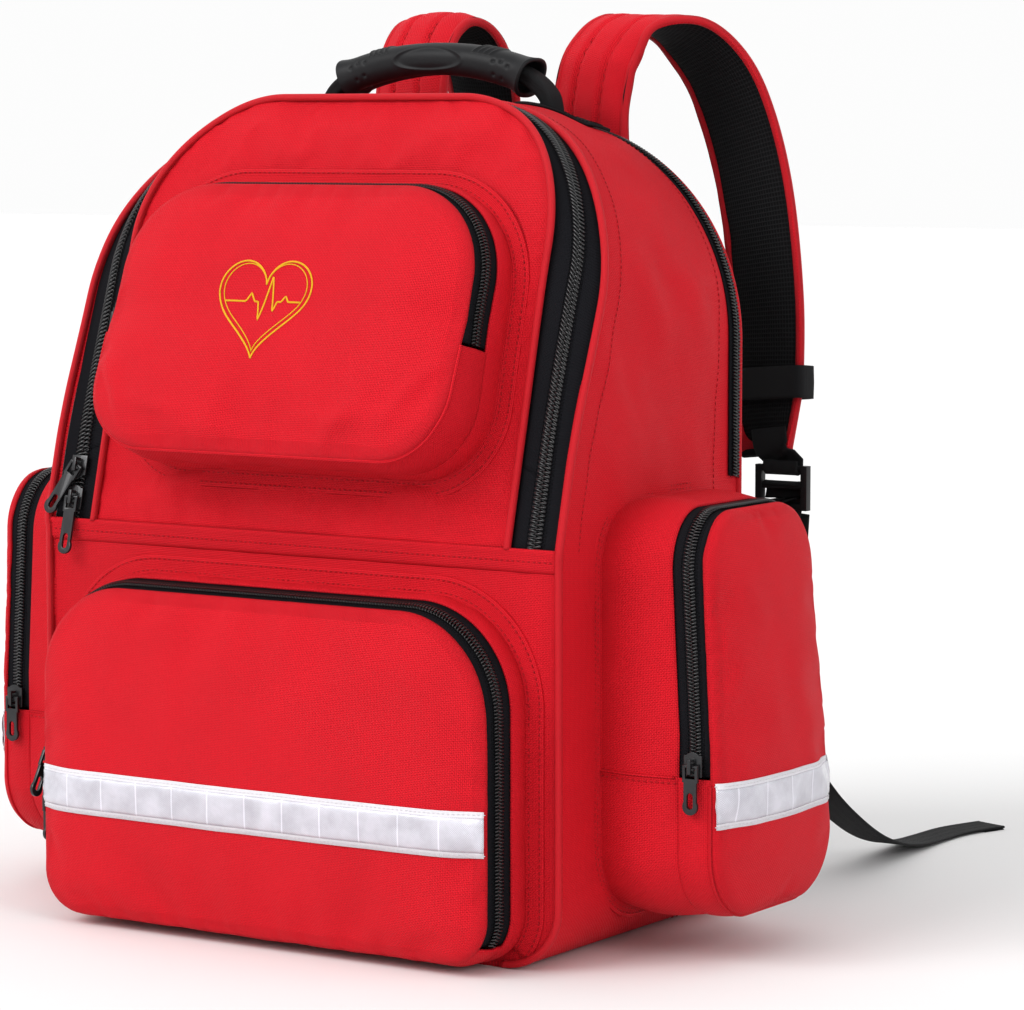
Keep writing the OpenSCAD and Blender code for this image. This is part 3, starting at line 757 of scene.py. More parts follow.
class Pocket:
    """A box pocket with a zip round its top and sides. Its own frame has x across, z up and -y out
    of the bag; place() carries points into the row frame."""

    def __init__(self, name, half, low, high, top_r, low_r, front, coil_y, put,
                 warp=lambda p: p, slant=None):
        self.name, self.half, self.low, self.high = name, half, low, high
        self.top_r, self.low_r = top_r, low_r
        self.front, self.coil_y, self.slant = front, coil_y, slant
        self.put, self.warp = put, warp

    def place(self, p):
        return self.put(self.warp(np.asarray(p, float)))

    def turn(self, v):
        """A direction in the row frame."""
        return unit(self.put(v) - self.put(np.zeros(3)))

    def lean(self, z, y):
        """How far the wall leans in at a height and depth: most at the front, nothing behind the
        zip."""
        if self.coil_y is None:
            return 0.0 * z
        foot = self.coil_y(z) + 10
        return self.slant(z) * np.clip((foot - y) / (foot - self.front(z)), 0, 1.05)

    def loop(self, across=90, up=64):
        """Points round the outline from the middle of the low left corner, anticlockwise seen
        from the front, with their outward normals. Its quarters end in the corners' middles."""
        h, lo, hi, rt, rb = self.half, self.low, self.high, self.top_r, self.low_r
        centres = {"bl": (-h + rb, lo + rb, rb), "br": (h - rb, lo + rb, rb),
                   "tr": (h - rt, hi - rt, rt), "tl": (-h + rt, hi - rt, rt)}

        def stretch(a, from_a, to_a, b, from_b, to_b, count):
            points = []
            for c, t0, t1 in ((a, from_a, to_a), (b, from_b, to_b)):
                x, z, r = centres[c]
                t = np.radians(np.linspace(t0, t1, 24))
                c, s = np.cos(t), np.sin(t)
                points.append(np.stack([x + r * c, z + r * s, c, s], 1))
            points = np.vstack(points)
            run = lengths(points[:, :2])
            return sample(np.linspace(0, run[-1], count + 1)[:-1], run, points)

        all_points = np.vstack([
            stretch("bl", 225, 270, "br", 270, 315, across),
            stretch("br", -45, 0, "tr", 0, 45, up),
            stretch("tr", 45, 90, "tl", 90, 135, across),
            stretch("tl", 135, 180, "bl", 180, 225, up)])
        return all_points[:, :2], unit(all_points[:, 2:])

    def ring(self, points, normals, inset, y):
        """The outline drawn in by inset. y is a depth, or a function of the height."""
        depth = y(points[:, 1]) if callable(y) else np.full(len(points), float(y))
        p = points - normals * (inset + self.lean(points[:, 1], depth))[:, None]
        return xyz(p[:, 0], y(p[:, 1]) if callable(y) else depth, p[:, 1])

    def cover(self, crown, pressure, cap, slack, roll=6.0, across=64, up=46, folds=(),
              depth=3.2, thickness=2.2, seed=1):
        """The front panel with its rolled edge, in the row frame."""
        self.rim = depth
        points, normals = self.loop(across, up)
        rim = self.ring(points, normals, roll, self.front)
        count = len(rim)
        low = rim[:across + 1]
        right = rim[across:across + up + 1]
        top = rim[across + up:2 * across + up + 1][::-1]
        left = np.vstack([rim[2 * across + up:], rim[:1]])[::-1]
        u = np.linspace(0, 1, across + 1)[None, :, None]
        v = np.linspace(0, 1, up + 1)[:, None, None]
        inside = (1 - v) * low[None] + v * top[None] + (1 - u) * left[:, None] \
            + u * right[:, None] - ((1 - u) * (1 - v) * low[0] + u * (1 - v) * low[-1]
                                    + (1 - u) * v * top[0] + u * v * top[-1])
        bulge = (np.sin(math.pi * u) * np.sin(math.pi * v))[..., 0] ** 0.6
        x, z = inside[..., 0], inside[..., 2]
        inside[..., 1] = self.front(z) - bulge * crown
        inside[..., 1] -= wrinkles(inside, 34, seed) * 0.9 * np.clip(bulge * 1.5, 0, 1)
        inside[..., 1] -= fold_height(x, z, folds)
        grid_count = (across + 1) * (up + 1)
        edge = np.concatenate([
            np.arange(across), (np.arange(up)) * (across + 1) + across,
            up * (across + 1) + across - np.arange(across),
            (up - np.arange(up)) * (across + 1)])
        rings = []
        for a in (28, 55, 80, 90):
            t = math.radians(a)
            rings.append(self.ring(points, normals, roll * (1 - math.sin(t)),
                                   lambda q, t=t: self.front(q) + depth * (1 - math.cos(t))))
        rings.append(self.ring(points, normals, 0.1, lambda q: self.front(q) + depth + 0.9))
        rings[-1][:, 1] += wrinkles(rings[-1], 9, seed + 3) * 0.35
        cells = grid_faces(up + 1, across + 1).tolist()
        previous, nxt = edge, (np.arange(count) + 1) % count
        for k in range(len(rings)):
            current = grid_count + k * count + np.arange(count)
            cells += np.stack([previous, current, current[nxt], previous[nxt]], 1).tolist()
            previous = current
        p = np.vstack([inside.reshape(-1, 3)] + rings)
        pinned = np.zeros(len(p), bool)
        pinned[grid_count + 2 * count:] = True
        p = inflate(p, cells, pinned, pressure, cap, slack)
        uv = p[:, [0, 2]].copy()
        for k in range(len(rings)):
            span = slice(grid_count + k * count, grid_count + (k + 1) * count)
            uv[span] = rings[k][:, [0, 2]] + normals * (k + 1) * 2
        p = self.place(p)
        self.surface = BVHTree.FromPolygons(p.tolist(), cells)
        piece = make(self.name + "_cover", p, cells, uv, [red, grey_lining])
        thick = piece.modifiers.new("thickness", "SOLIDIFY")
        thick.thickness = thickness * MM
        thick.offset = -1
        thick.material_offset = 1
        thick.use_even_offset = False
        settle(piece)
        return piece

    def drape(self, line, lift=0.3):
        """Drops points x, z of the pocket's frame on to its cover. Returns points and normals."""
        out, up = [], []
        aim = self.turn((0, 1, 0))
        for x, z in line:
            start = self.put((x, self.front(z) - 60, z))
            hit, normal, _, _ = self.surface.ray_cast(Vector(start), Vector(aim))
            if hit is None:
                near = self.place((x, self.front(z), z))
                hit, normal, _, _ = self.surface.find_nearest(Vector(near))
            normal = np.array(normal)
            if normal @ aim > 0:
                normal = -normal
            out.append(np.array(hit) + normal * lift)
            up.append(normal)
        return np.array(out), np.array(up)

    def path(self, z_end):
        """Zip line from the left end over the top to the right end: outline points, normals."""
        points, normals = self.loop(120, 80)
        left = points[:, 0] < 0
        start, end = [int(np.argmin(np.where(part & (points[:, 1] < self.high * 0.7),
                                             abs(points[:, 1] - z_end), 1e9)))
                      for part in (left, ~left)]
        count = len(points)
        order = [(start - k) % count for k in range((start - end) % count + 1)]
        return points[order], normals[order]

    def stretch(self, keep):
        """The part of the outline whose heights pass keep: points and normals."""
        points, normals = self.loop()
        order = stretch_of(keep(points[:, 1]))
        return points[order], normals[order]

    def wall(self, name, from_y, to_y, z_top=None, bulge=1.5, seed=3, rows=12):
        """The side wall between two depths: round the whole outline, or only below z_top."""
        points, normals = self.stretch(lambda z: z < z_top) if z_top else self.loop()
        x, z = points.T
        flat = xyz(normals[:, 0], 0, normals[:, 1])
        a = from_y(z) if callable(from_y) else from_y
        b = to_y(z) if callable(to_y) else to_y
        grid = []
        for s in np.linspace(0, 1, rows):
            p = xyz(x, a + (b - a) * s, z)
            swell = math.sin(math.pi * s)
            p += flat * (bulge * swell - self.lean(z, p[:, 1])
                         + wrinkles(p * [1, 0.5, 1], 16, seed) * 0.7 * swell)[:, None]
            grid.append(p)
        out = self.place(np.array(grid))
        outward = grid_normals(out)
        middle = self.place(grid[rows // 2] + flat)
        if np.sum((middle - out[rows // 2]) * outward[rows // 2]) < 0:
            outward = -outward
        self.wall_grid, self.wall_normals, self.wall_heights = out, outward, z
        return solid_sheet(name, out, 1.8, [red, grey_lining], normals=outward,
                           closed=z_top is None)

    def flange(self, name, body, width, y, z_low=None):
        """Flat seam allowance on the bag round the foot of the wall, above z_low if that is given,
        with two rows of stitches."""
        points, normals = self.loop() if z_low is None else self.stretch(lambda z: z > z_low)

        def line_at(reach, depth):
            p = points + normals * reach
            return xyz(p[:, 0], depth, p[:, 1])

        grid = []
        for reach, rise in ((0.2, 2.6), (1.2, 1.6), (3.5, 1.3), (width * 0.55, 1.25),
                            (width * 0.85, 1.2), (width, 0.9), (width + 0.4, 0.2)):
            p = line_at(reach, y)
            p[:, 1] -= rise + cell_noise(p, 11, 8) * 0.28 * (0.3 < rise < 2)
            grid.append(p)
        out = self.put(np.array(grid))
        outward = grid_normals(out)
        front = self.turn((0, -1, 0))
        if np.sum(outward * front) < 0:
            outward = -outward
        fabric(solid_sheet(name, out, 1.4, [red], normals=outward, closed=z_low is None), body)
        for k, reach in enumerate((2.4, width - 2.0)):
            line = line_at(reach, y - 1.45)
            if z_low is None:
                line = np.vstack([line, line[:1]])
            fabric(stitches(f"{name}_stitches_{k}", self.put(line), front, red_thread), body)


def fold_height(x, z, folds):
    """Height of soft ridges, each given by its two ends, its half width and its height."""
    total = 0.0 * x
    for (x0, z0), (x1, z1), width, height in folds:
        dx, dz = x1 - x0, z1 - z0
        t = np.clip(((x - x0) * dx + (z - z0) * dz) / (dx ** 2 + dz ** 2), 0, 1)
        gap = np.hypot(x - x0 - dx * t, z - z0 - dz * t)
        taper = np.sin(math.pi * np.clip(t, 0.02, 0.98)) ** 0.7
        total += np.exp(-(gap / width) ** 2) * taper * height
    return total


def upright(p):
    return np.asarray(p, float)


def on_flap(p):
    """From the flap's frame, whose z runs up its face, to the row frame."""
    x, y, z = np.moveaxis(np.asarray(p, float), -1, 0)
    c, s = math.cos(LEAN), math.sin(LEAN)
    return xyz(x, FRONT + y * c + z * s, SEAM - y * s + z * c)


def on_side(side):
    """From a side pocket's frame to the row frame."""
    def place(p):
        x, y, z = np.moveaxis(np.asarray(p, float), -1, 0)
        return xyz(-side * y, SIDE_MIDDLE + side * x, z)
    return place


# ---------------------------------------------------------------- camera, light and floor


def look_at(thing, target):
    away = thing.location - Vector(target)
    thing.rotation_euler = away.to_track_quat("Z", "Y").to_euler()


def studio():
    camera = linked("camera", bpy.data.cameras.new("camera"))
    camera.location = (1.2728, -1.8387, 0.4509)
    camera.data.lens = 137.9
    camera.data.clip_end = 50
    look_at(camera, (0.1012, -0.030, 0.2432))
    bpy.context.scene.camera = camera

    reach = 14000.0
    corner_points = [(-reach, -reach, 0), (reach, -reach, 0), (reach, reach, 0),
                     (-reach, reach, 0)]
    floor = linked("floor", plain_mesh("floor", corner_points, [(0, 1, 2, 3)]))
    floor.data.materials.append(Look("floor_paper", (0.80, 0.80, 0.80), 0.9, gloss=0.1).material)

    world = bpy.data.worlds.new("studio")
    world.use_nodes = True
    world.node_tree.nodes["Background"].inputs[0].default_value = (1, 1, 1, 1)
    world.node_tree.nodes["Background"].inputs[1].default_value = 0.98
    bpy.context.scene.world = world
    bpy.context.scene.view_settings.view_transform = "Standard"
    bpy.context.scene.view_settings.gamma = 0.9

    for name, kind, place, power, setting, size in (
            ("soft_box", "AREA", (-1.1, -1.6, 1.9), 12, "size", 1.0),
            ("key", "SUN", (-0.95, -2.4, 2.0), 1.25, "angle", 0.6),
            ("fill", "SUN", (2.2, -0.8, 1.3), 0.55, "angle", 0.35)):
        lamp = linked(name, bpy.data.lights.new(name, kind))
        lamp.data.energy = power
        setattr(lamp.data, setting, size)
        lamp.location = place
        look_at(lamp, (0, 0, 0.24))


# ---------------------------------------------------------------- straps and their tails

TAIL_RIGHT = [
    (169, 165, 227), (167, 166, 205), (164, 167, 175), (161, 169, 140), (160, 172, 112),
    (163, 180, 84), (170, 199, 58), (171, 230, 37), (167, 268, 20), (163, 305, 9),
    (160, 340, 3.4), (158, 370, 1.6), (160, 402, 1.6), (170, 434, 1.6)]
TAIL_LEFT = [
    (-138, 165, 227), (-137, 168, 205), (-135, 172, 175), (-131, 176, 145), (-126, 180, 112),
    (-120, 184, 80), (-112, 188, 52), (-101, 191, 28), (-85, 193, 11), (-65, 194, 3.5),
    (-40, 194, 1.6), (-12, 193, 1.6), (12, 191, 1.6)]
WEBBING = 25.0
WEBBING_T = 1.6


def webbing_section(width, t):
    """Flat strip with soft edges and a faint rib on each side."""
    half = []
    for x, y in ((1, 0), (0.985, 0.6), (0.93, 0.95), (0.86, 1.0), (0.8, 0.86), (0.5, 0.82),
                 (0, 0.82)):
        half.append((x * width / 2, y * t / 2))
    top = half + [(-x, y) for x, y in half[:-1][::-1]]
    return np.array(top + [(x, -y) for x, y in top[1:-1][::-1]])


def ribbon(name, line, wide, width=WEBBING, t=WEBBING_T):
    """Webbing along a line, whose wide side follows the vectors given."""
    line, wide = resample(line, 3.0, wide)
    along = tangents(line)
    thick = unit(np.cross(along, wide))
    return tube(name, line, webbing_section(width, t), np.cross(thick, along), thick, webbing)


def tail(node, route, turn, body):
    """Free end of a strap's webbing, turned by an angle on its way, with a sewn hem."""
    line = smooth_path(route, 8)
    share = np.linspace(0, 1, len(line))
    a = np.radians(turn) * np.clip((share - 0.15) / 0.5, 0, 1)
    wide = xyz(np.cos(a), np.sin(a), 0)
    piece = ribbon(node + "_webbing", line, wide)
    bending(piece, body, "bag", (0, 0, 190), (0, 0, 30), node, slot="webbing")
    along = tangents(line)[-1]
    end = line[-1] - along * 17
    thick = unit(np.cross(along, wide[-1]))
    hem_line = np.array([end + along * s + thick * 1.5 for s in np.linspace(0, 16.5, 8)])
    extras = [ribbon(node + "_hem", hem_line, wide[-1], WEBBING - 0.6, 1.2)]
    for k, s in enumerate((4.0, 12.0)):
        across = np.array([end + along * s + np.cross(thick, along) * x
                           for x in np.linspace(-10, 10, 12)])
        extras.append(stitches(f"{node}_hem_stitches_{k}", across + thick * 2.1, thick,
                               black_cloth, 2.4, 0.9))
    for extra in extras:
        fabric(extra, "bag", slot="webbing")


studio()
tail("strap_tail_right", TAIL_RIGHT, 0, "strap_right")
tail("strap_tail_left", TAIL_LEFT, 90, "strap_left")

# ---------------------------------------------------------------- lower front pocket

LOW_FOLD = 10.0
low_low, low_high = corners("lower_pocket_gusset")
low_cover_low, _ = corners("lower_pocket_cover")
low_front = low_cover_low[1] + 3.5
low_coil = low_cover_low[1] + 17.5
low_pocket = Pocket("lower_pocket", low_high[0] - 0.3, low_low[2], low_high[2], 58, 28,
                    lambda z: low_front + 0 * z, lambda z: low_coil + 0 * z, upright,
                    slant=lambda z: 3 + ramp(z, 120, 60, 2.5))


def zip_round(pocket, name, z_end, base_body, cover_body, width=10.5):
    """Both halves of a pocket's zip."""
    points, normals = pocket.path(z_end)

    def at(depth):
        y = pocket.coil_y(points[:, 1]) + depth
        p = points - normals * (0.6 + pocket.lean(points[:, 1], y))[:, None]
        return pocket.place(xyz(p[:, 0], y, p[:, 1]))

    middle = at(0)
    behind = unit(at(9) - middle)
    outward = pocket.turn(xyz(normals[:, 0], 0, normals[:, 1]))
    outward = unit(outward - behind * np.sum(outward * behind, 1, keepdims=True))
    reach = pocket.coil_y(points[:, 1]) - pocket.front(points[:, 1]) - pocket.rim - 0.3
    zip_half(name + "_front", middle, -behind, outward, reach, cover_body)
    zip_half(name + "_back", middle, behind, outward, width, base_body, phase=0.5)


def low_rim(pocket, name, z_top):
    """Seam bead where a cover meets its under wall, below the ends of the zip."""
    points, normals = pocket.stretch(lambda z: z < z_top)
    line = pocket.ring(points, normals, -0.2, lambda z: pocket.front(z) + pocket.rim + 0.4)
    return bead(name, pocket.place(line), 1.0, red, 8)


def build_lower_pocket(pocket):
    folds = [((-150, 30), (-60, 16), 9, 1.2), ((60, 12), (150, 34), 8, 1.0),
             ((-120, 180), (-80, 150), 12, 1.0), ((95, 185), (130, 120), 10, 1.2)]
    cover = pocket.cover(crown=3.5, pressure=3.0, cap=5, slack=0.012, folds=folds, seed=2)
    at = (0, 0, LOW_FOLD - 5), (0, 0, LOW_FOLD + 9)
    bending(cover, "bag", "lower_cover", *at, "lower_pocket_cover")
    zip_round(pocket, "lower_zip", 16, "bag", "lower_cover")
    gusset = pocket.wall("lower_pocket_gusset_cloth", low_coil + 9.5, FRONT - 0.4)
    fabric(gusset, "bag", "lower_pocket_gusset", "lower_zip_gusset_tape", "lower_zip_cover_tape")
    under = pocket.wall("lower_pocket_under", low_front + 3.6, low_coil + 10, z_top=15, seed=5)
    fabric(under, "bag")
    pocket.flange("lower_pocket_flange", "bag", 11, FRONT, z_low=12)


build_lower_pocket(low_pocket)

# ---------------------------------------------------------------- upper pocket

UP_FOLD = 104.0


def up_front(z):
    return -49.0 + ramp(z, 100, 200, 17) + ramp(z, 58, 60, 8)


def up_coil(z):
    return -26.5 + ramp(z, 120, 200, 18)


up_pocket = Pocket("upper_pocket", 122, 35, 197, 58, 42, up_front, up_coil, on_flap,
                   slant=lambda z: 3 + ramp(z, 100, 90, 3))


def emblem(pocket, centre, size, at):
    """Generic embroidered sign: a heart outline with a pulse line across it."""
    t = np.linspace(0, 2 * math.pi, 90)
    heart = np.stack([16 * np.sin(t) ** 3,
                      13 * np.cos(t) - 5 * np.cos(2 * t) - 2 * np.cos(3 * t) - np.cos(4 * t)], 1)
    inner = heart * 0.9 + [0, 0.4]
    pulse = np.array([(-13, 0), (-6, 0), (-4.5, 2.5), (-3, 0), (-1.8, 0), (-0.4, -5.5), (2, 7.5),
                      (4, -3), (5, 0), (6.4, 0), (7.6, 1.8), (8.8, 0), (13, 0)], float)
    for k, (shape, thick) in enumerate(((heart, 1.15), (inner, 0.7), (pulse, 1.15))):
        points, up = pocket.drape(resample(shape * size / 32 + centre, 1.2), 0.12)
        axes = frames_along(points, up)
        thread = tube(f"emblem_thread_{k}", points, round_section(thick, 0.7, 8), axes[:, 1],
                      axes[:, 2], yellow_thread)
        bending(thread, "flap", "upper_cover", *at)


def build_upper_pocket(pocket):
    folds = [((-112, 66), (-20, 52), 5, 2.6), ((-100, 52), (40, 47), 4, 2.2),
             ((10, 54), (100, 62), 5, 2.4), ((80, 56), (114, 96), 5, 2.4),
             ((-115, 92), (-92, 60), 5, 2.4), ((60, 170), (100, 120), 14, 1.8),
             ((-80, 180), (-100, 110), 14, 1.6), ((40, 44), (70, 70), 5, 1.8)]
    cover = pocket.cover(crown=3.0, pressure=3.2, cap=6, slack=0.014, folds=folds, roll=7, seed=4)
    fold, up = on_flap((0, up_front(UP_FOLD), UP_FOLD)), pocket.turn((0, 0, 1))
    at = fold - up * 9, fold + up * 9
    bending(cover, "flap", "upper_cover", *at, "upper_pocket_cover")
    zip_round(pocket, "upper_zip", UP_FOLD + 1, "flap", "upper_cover", 9.5)
    gusset = pocket.wall("upper_pocket_gusset_cloth", lambda z: up_coil(z) + 8.5, -0.4, bulge=1.2)
    fabric(gusset, "flap", "upper_pocket_gusset", "upper_zip_gusset_tape", "upper_zip_cover_tape")
    fabric(low_rim(pocket, "upper_cover_rim", UP_FOLD), "flap")
    under = pocket.wall("upper_pocket_under", lambda z: up_front(z) + 3.6,
                        lambda z: up_coil(z) + 9.4, z_top=UP_FOLD, bulge=2.0, seed=6)
    fabric(under, "flap")
    pocket.flange("upper_pocket_flange", "flap", 10, 0)
    emblem(pocket, np.array([-8, 122.0]), 62, at)


build_upper_pocket(up_pocket)

# ---------------------------------------------------------------- side pockets

side_low, side_high = corners("side_pocket_right")
SIDE_MIDDLE = (side_low[1] + side_high[1]) / 2
SIDE_OUT = side_high[0]
SIDE_FOLD = 107.0
SIDE_HALF = (side_high[1] - side_low[1]) / 2


def side_front(z):
    return -SIDE_OUT + 2.5 + ramp(z, 122, 200, 11)


def side_coil(z):
    return -SIDE_OUT + 17.5 + ramp(z, 128, 200, 11)


def side_warp(side):
    """Draws the rear of the pocket in towards its top."""
    def warp(p):
        p = p.copy()
        out = np.clip((-p[..., 1] - HALF_W) / 70, 0, 1)
        forward = -side * SIDE_HALF
        rise = np.clip((p[..., 2] - 60) / 190, 0, 1)
        p[..., 0] = forward + (p[..., 0] - forward) * (1 - 0.14 * rise * out)
        return p
    return warp


def build_side_pocket(side):
    tag = "right" if side > 0 else "left"
    pocket = Pocket("side_pocket_" + tag, SIDE_HALF, side_low[2], side_high[2], 36, 40,
                    side_front, side_coil, on_side(side), side_warp(side),
                    slant=lambda z: 2.0 + 0 * z)
    f = -side
    folds = [((f * 40, 215), (f * 10, 180), 9, 1.2), ((-f * 50, 60), (-f * 20, 150), 10, 1.4),
             ((f * 20, 95), (-f * 30, 70), 8, 0.9)]
    cover = pocket.cover(crown=3.0, pressure=3.0, cap=5, slack=0.012, across=34, up=60,
                         folds=folds, depth=5.4, seed=6 + side)
    at = (side * 250, 0, SIDE_FOLD - 5), (side * 250, 0, SIDE_FOLD + 7)
    cover_body = "side_cover_" + tag
    bending(cover, "bag", cover_body, *at, "side_cover_" + tag)
    zip_round(pocket, "side_zip_" + tag, SIDE_FOLD + 1, "bag", cover_body)
    gusset = pocket.wall(f"side_pocket_{tag}_gusset", lambda z: side_coil(z) + 9.5, -HALF_W - 0.4,
                         bulge=2.5, rows=22, seed=9 + side)
    fabric(gusset, "bag", "side_pocket_" + tag, *(["side_zip_gusset_tapes"] if side > 0 else []))
    # Seam across each wall at the zip's ends
    half = len(pocket.wall_heights) // 2
    for k, start in enumerate((0, half)):
        column = start + int(np.argmin(abs(pocket.wall_heights[start:start + half] - SIDE_FOLD)))
        out = pocket.wall_normals[1:, column]
        line = pocket.wall_grid[1:, column] + out * 0.3
        fabric(bead(f"side_pocket_{tag}_seam_{k}", line, 0.75, red, 8), "bag")
        fabric(stitches(f"side_pocket_{tag}_seam_stitches_{k}", line - [0, 0, 3.0] + out * 0.2,
                        out, red_thread), "bag")
    fabric(low_rim(pocket, f"side_cover_{tag}_rim", SIDE_FOLD - 2), "bag")
    under = pocket.wall(f"side_pocket_{tag}_under", lambda z: side_front(z) + 5.8,
                        lambda z: side_coil(z) + 10.4, z_top=SIDE_FOLD, bulge=1.5, seed=7 + side)
    fabric(under, "bag")
    pocket.flange(f"side_pocket_{tag}_flange", "bag", 7, -HALF_W - 0.2)
    return pocket


side_pockets = {side: build_side_pocket(side) for side in (1, -1)}

# ---------------------------------------------------------------- reflective tapes


def reflective_tape(pocket, name, low, body, *nodes):
    """Woven border with a raised vinyl face welded in cells."""
    half = pocket.half - 0.6 - float(pocket.slant(low))
    columns = int(half * 2 / 1.6)
    x = np.linspace(-half, half, columns)

    def draped(level, lift):
        return pocket.drape([(at, level) for at in x], lift)

    def strip(tag, z0, z1, rows, lift, looks, thickness, relief=0.0):
        lines = [draped(z, lift) for z in np.linspace(z0, z1, rows)]
        grid, out = (np.array(part) for part in zip(*lines))
        uv = np.stack(np.meshgrid(x + TAPE_CELL * 40, np.linspace(z0, z1, rows)), -1)
        return solid_sheet(f"{name}_{tag}", grid + out * relief, thickness, looks, uv=uv,
                           normals=out)

    border = strip("border", low, low + 25, 7, 0.7, [vinyl_edge], 0.7)
    rows = 13
    z = np.linspace(-1, 1, rows)[:, None]
    to_weld = abs((x[None, :] + TAPE_CELL * 40) % TAPE_CELL - TAPE_CELL / 2) / (TAPE_CELL / 2)
    pillow = (1 - z ** 6) * (1 - np.clip(to_weld, 0, 1) ** 14) * 0.7
    pillow = pillow + wrinkles(xyz(x, 0, z * 10), 7, 12) * 0.12 * (1 - z ** 4)
    face = strip("face", low + 3.2, low + 21.8, rows, 1.0, [vinyl], 0.5, pillow[..., None])
    threads = [stitches(f"{name}_stitches_{k}", *draped(level, 0.75), white_thread, 2.8, 0.85)
               for k, level in enumerate((low + 1.6, low + 23.4))]
    fabric(border, body, *nodes, slot="reflective_tape")
    for piece in [face] + threads:
        fabric(piece, body, slot="reflective_tape")


reflective_tape(low_pocket, "front_tape", 66, "lower_cover", "front_reflector")
reflective_tape(side_pockets[1], "side_tape_right", 79, "bag", "side_reflectors")
reflective_tape(side_pockets[-1], "side_tape_left", 79, "bag")

# ---------------------------------------------------------------- front flap


def build_flap():
    rows, columns = 96, 110
    z = SEAM + (FLAP_TOP - SEAM) * (1 - (1 - np.linspace(0, 1, rows)) ** 1.25)
    u = np.linspace(-1, 1, columns)
    u = np.sin(u * math.pi / 2) * 0.35 + u * 0.65
    half = np.maximum(flap_half(np.minimum(z, FLAP_TOP - 0.02)) - 0.6, 1.0)
    x = half[:, None] * u
    zz = np.repeat(z[:, None], columns, 1)
    edge = np.clip(np.minimum((1 - abs(u))[None, :] * half[:, None] / 26,
                              (FLAP_TOP - zz) / 26), 0, 1)
    under_pocket = (abs(x) < 132) & (zz > SEAM + 30) & (zz < 424)
    puff = np.sin(edge * math.pi / 2) * ramp(zz, SEAM, 30, 1)
    p = xyz(x, face_y(zz) - puff * (0.4 + ramp(zz, 425, 25, 3.2)), zz)
    p[..., 1] -= wrinkles(p, 30, 21) * 1.0 * edge * np.where(under_pocket, 0.2, 1.0)
    p[..., 1] -= fold_height(x, zz, [
        ((-120, 236), (-60, 262), 6, 2.0), ((-40, 240), (30, 233), 5, 1.5),
        ((60, 258), (125, 236), 7, 2.0), ((-90, 455), (-30, 440), 12, 1.8),
        ((20, 440), (95, 452), 14, 1.8), ((-130, 300), (-124, 380), 5, 1.2)])
    r, c = np.indices((rows, columns))
    pinned = (r == 0) | (r >= rows - 2) | (c == 0) | (c == columns - 1) | under_pocket
    flat = inflate(p.reshape(-1, 3), grid_faces(rows, columns), pinned.ravel(), 1.6, 4, 0.008, 16)
    panel = solid_sheet("flap_panel_cloth", flat.reshape(p.shape), 3.2, [red, grey_lining],
                        uv=np.stack([x, zz], -1))
    bending(panel, "bag", "flap", (0, 0, SEAM - 1), (0, 0, SEAM + 12), "flap_panel",
            "flap_lining")
    fabric(bead("flap_piping_cord", flap_line + [0, -1.4, 0.6], 2.1, red_piping), "flap",
           "flap_piping", slot="piping")


build_flap()


def seam_fold():
    """Folded seam across the front, where the flap meets the lower panel."""
    x = np.linspace(-HALF_W + 1, HALF_W - 1, 160)
    outline = [(-0.2, -11), (-1.2, -9.5), (-1.4, -5), (-1.5, -1.5), (-2.3, 0.4), (-1.6, 1.8),
               (-0.2, 1.6)]
    grid = np.array([xyz(x, FRONT + dy - 0.2, SEAM + dz) for dy, dz in outline])
    grid[..., 1] -= cell_noise(grid, 13, 4) * 0.25
    fabric(solid_sheet("seam_fold", grid, 1.0, [red], normals=(0, -1, 0)), "bag")
    fabric(stitches("seam_fold_stitches", xyz(x, FRONT - 1.75, SEAM - 5.0), (0, -1, 0),
                    red_thread), "bag")


seam_fold()


# ---------------------------------------------------------------- main zip


def build_main_zip():
    middle = flap_line * 0.5 + gusset_line * 0.5
    across = unit(gusset_line - flap_line)
    outward = unit(np.cross(across, tangents(middle)))
    if outward[len(outward) // 2][2] < 0:
        outward = -outward
    width = np.linalg.norm(gusset_line - flap_line, axis=1) / 2 - 0.2
    zip_half("main_zip_gusset", middle, across, outward, width, "bag", "main_zip_body_tape",
             big=True)
    first, last = np.flatnonzero(middle[:, 2] >= ZIP_FIXED)[[0, -1]]
    for name, span, body, *nodes in (
            ("main_zip_end_right", slice(0, first + 1), "bag"),
            ("main_zip_flap", slice(first, last + 1), "flap", "flap_zip_tape"),
            ("main_zip_end_left", slice(last, None), "bag")):
        zip_half(name, middle[span], -across[span], outward[span], width[span], body, *nodes,
                 big=True, phase=0.5)


build_main_zip()

# ---------------------------------------------------------------- gusset, base and back


def tube_point(kind, s, y):
    """Point of the body's outer surface at depth y. kind is base, corner, side, arch or top."""
    foot = arch_foot(y)
    if kind == "base":
        return s * (HALF_W - BASE_R), 0.0 * y
    if kind == "corner":
        a = s * math.pi / 2
        return (HALF_W - BASE_R + BASE_R * math.sin(a) + 0 * y,
                BASE_R - BASE_R * math.cos(a) + 0 * y)
    if kind == "side":
        return HALF_W + 0 * y, BASE_R + (foot - BASE_R) * s
    if kind == "arch":
        a = s * math.pi / 2
        return HALF_W - ARCH_R + ARCH_R * math.cos(a) + 0 * y, foot + ARCH_R * math.sin(a)
    return (HALF_W - ARCH_R) * (1 - s) + 0 * y, foot + ARCH_R + 0 * y


def tube_columns():
    """Kind and share along it of each column, from the middle of the base to that of the top."""
    counts = (("base", 16), ("corner", 12), ("side", 70), ("arch", 56), ("top", 16))
    return [(kind, s) for kind, count in counts for s in np.linspace(0, 1, count)
            if s < 1 or kind == "top"]


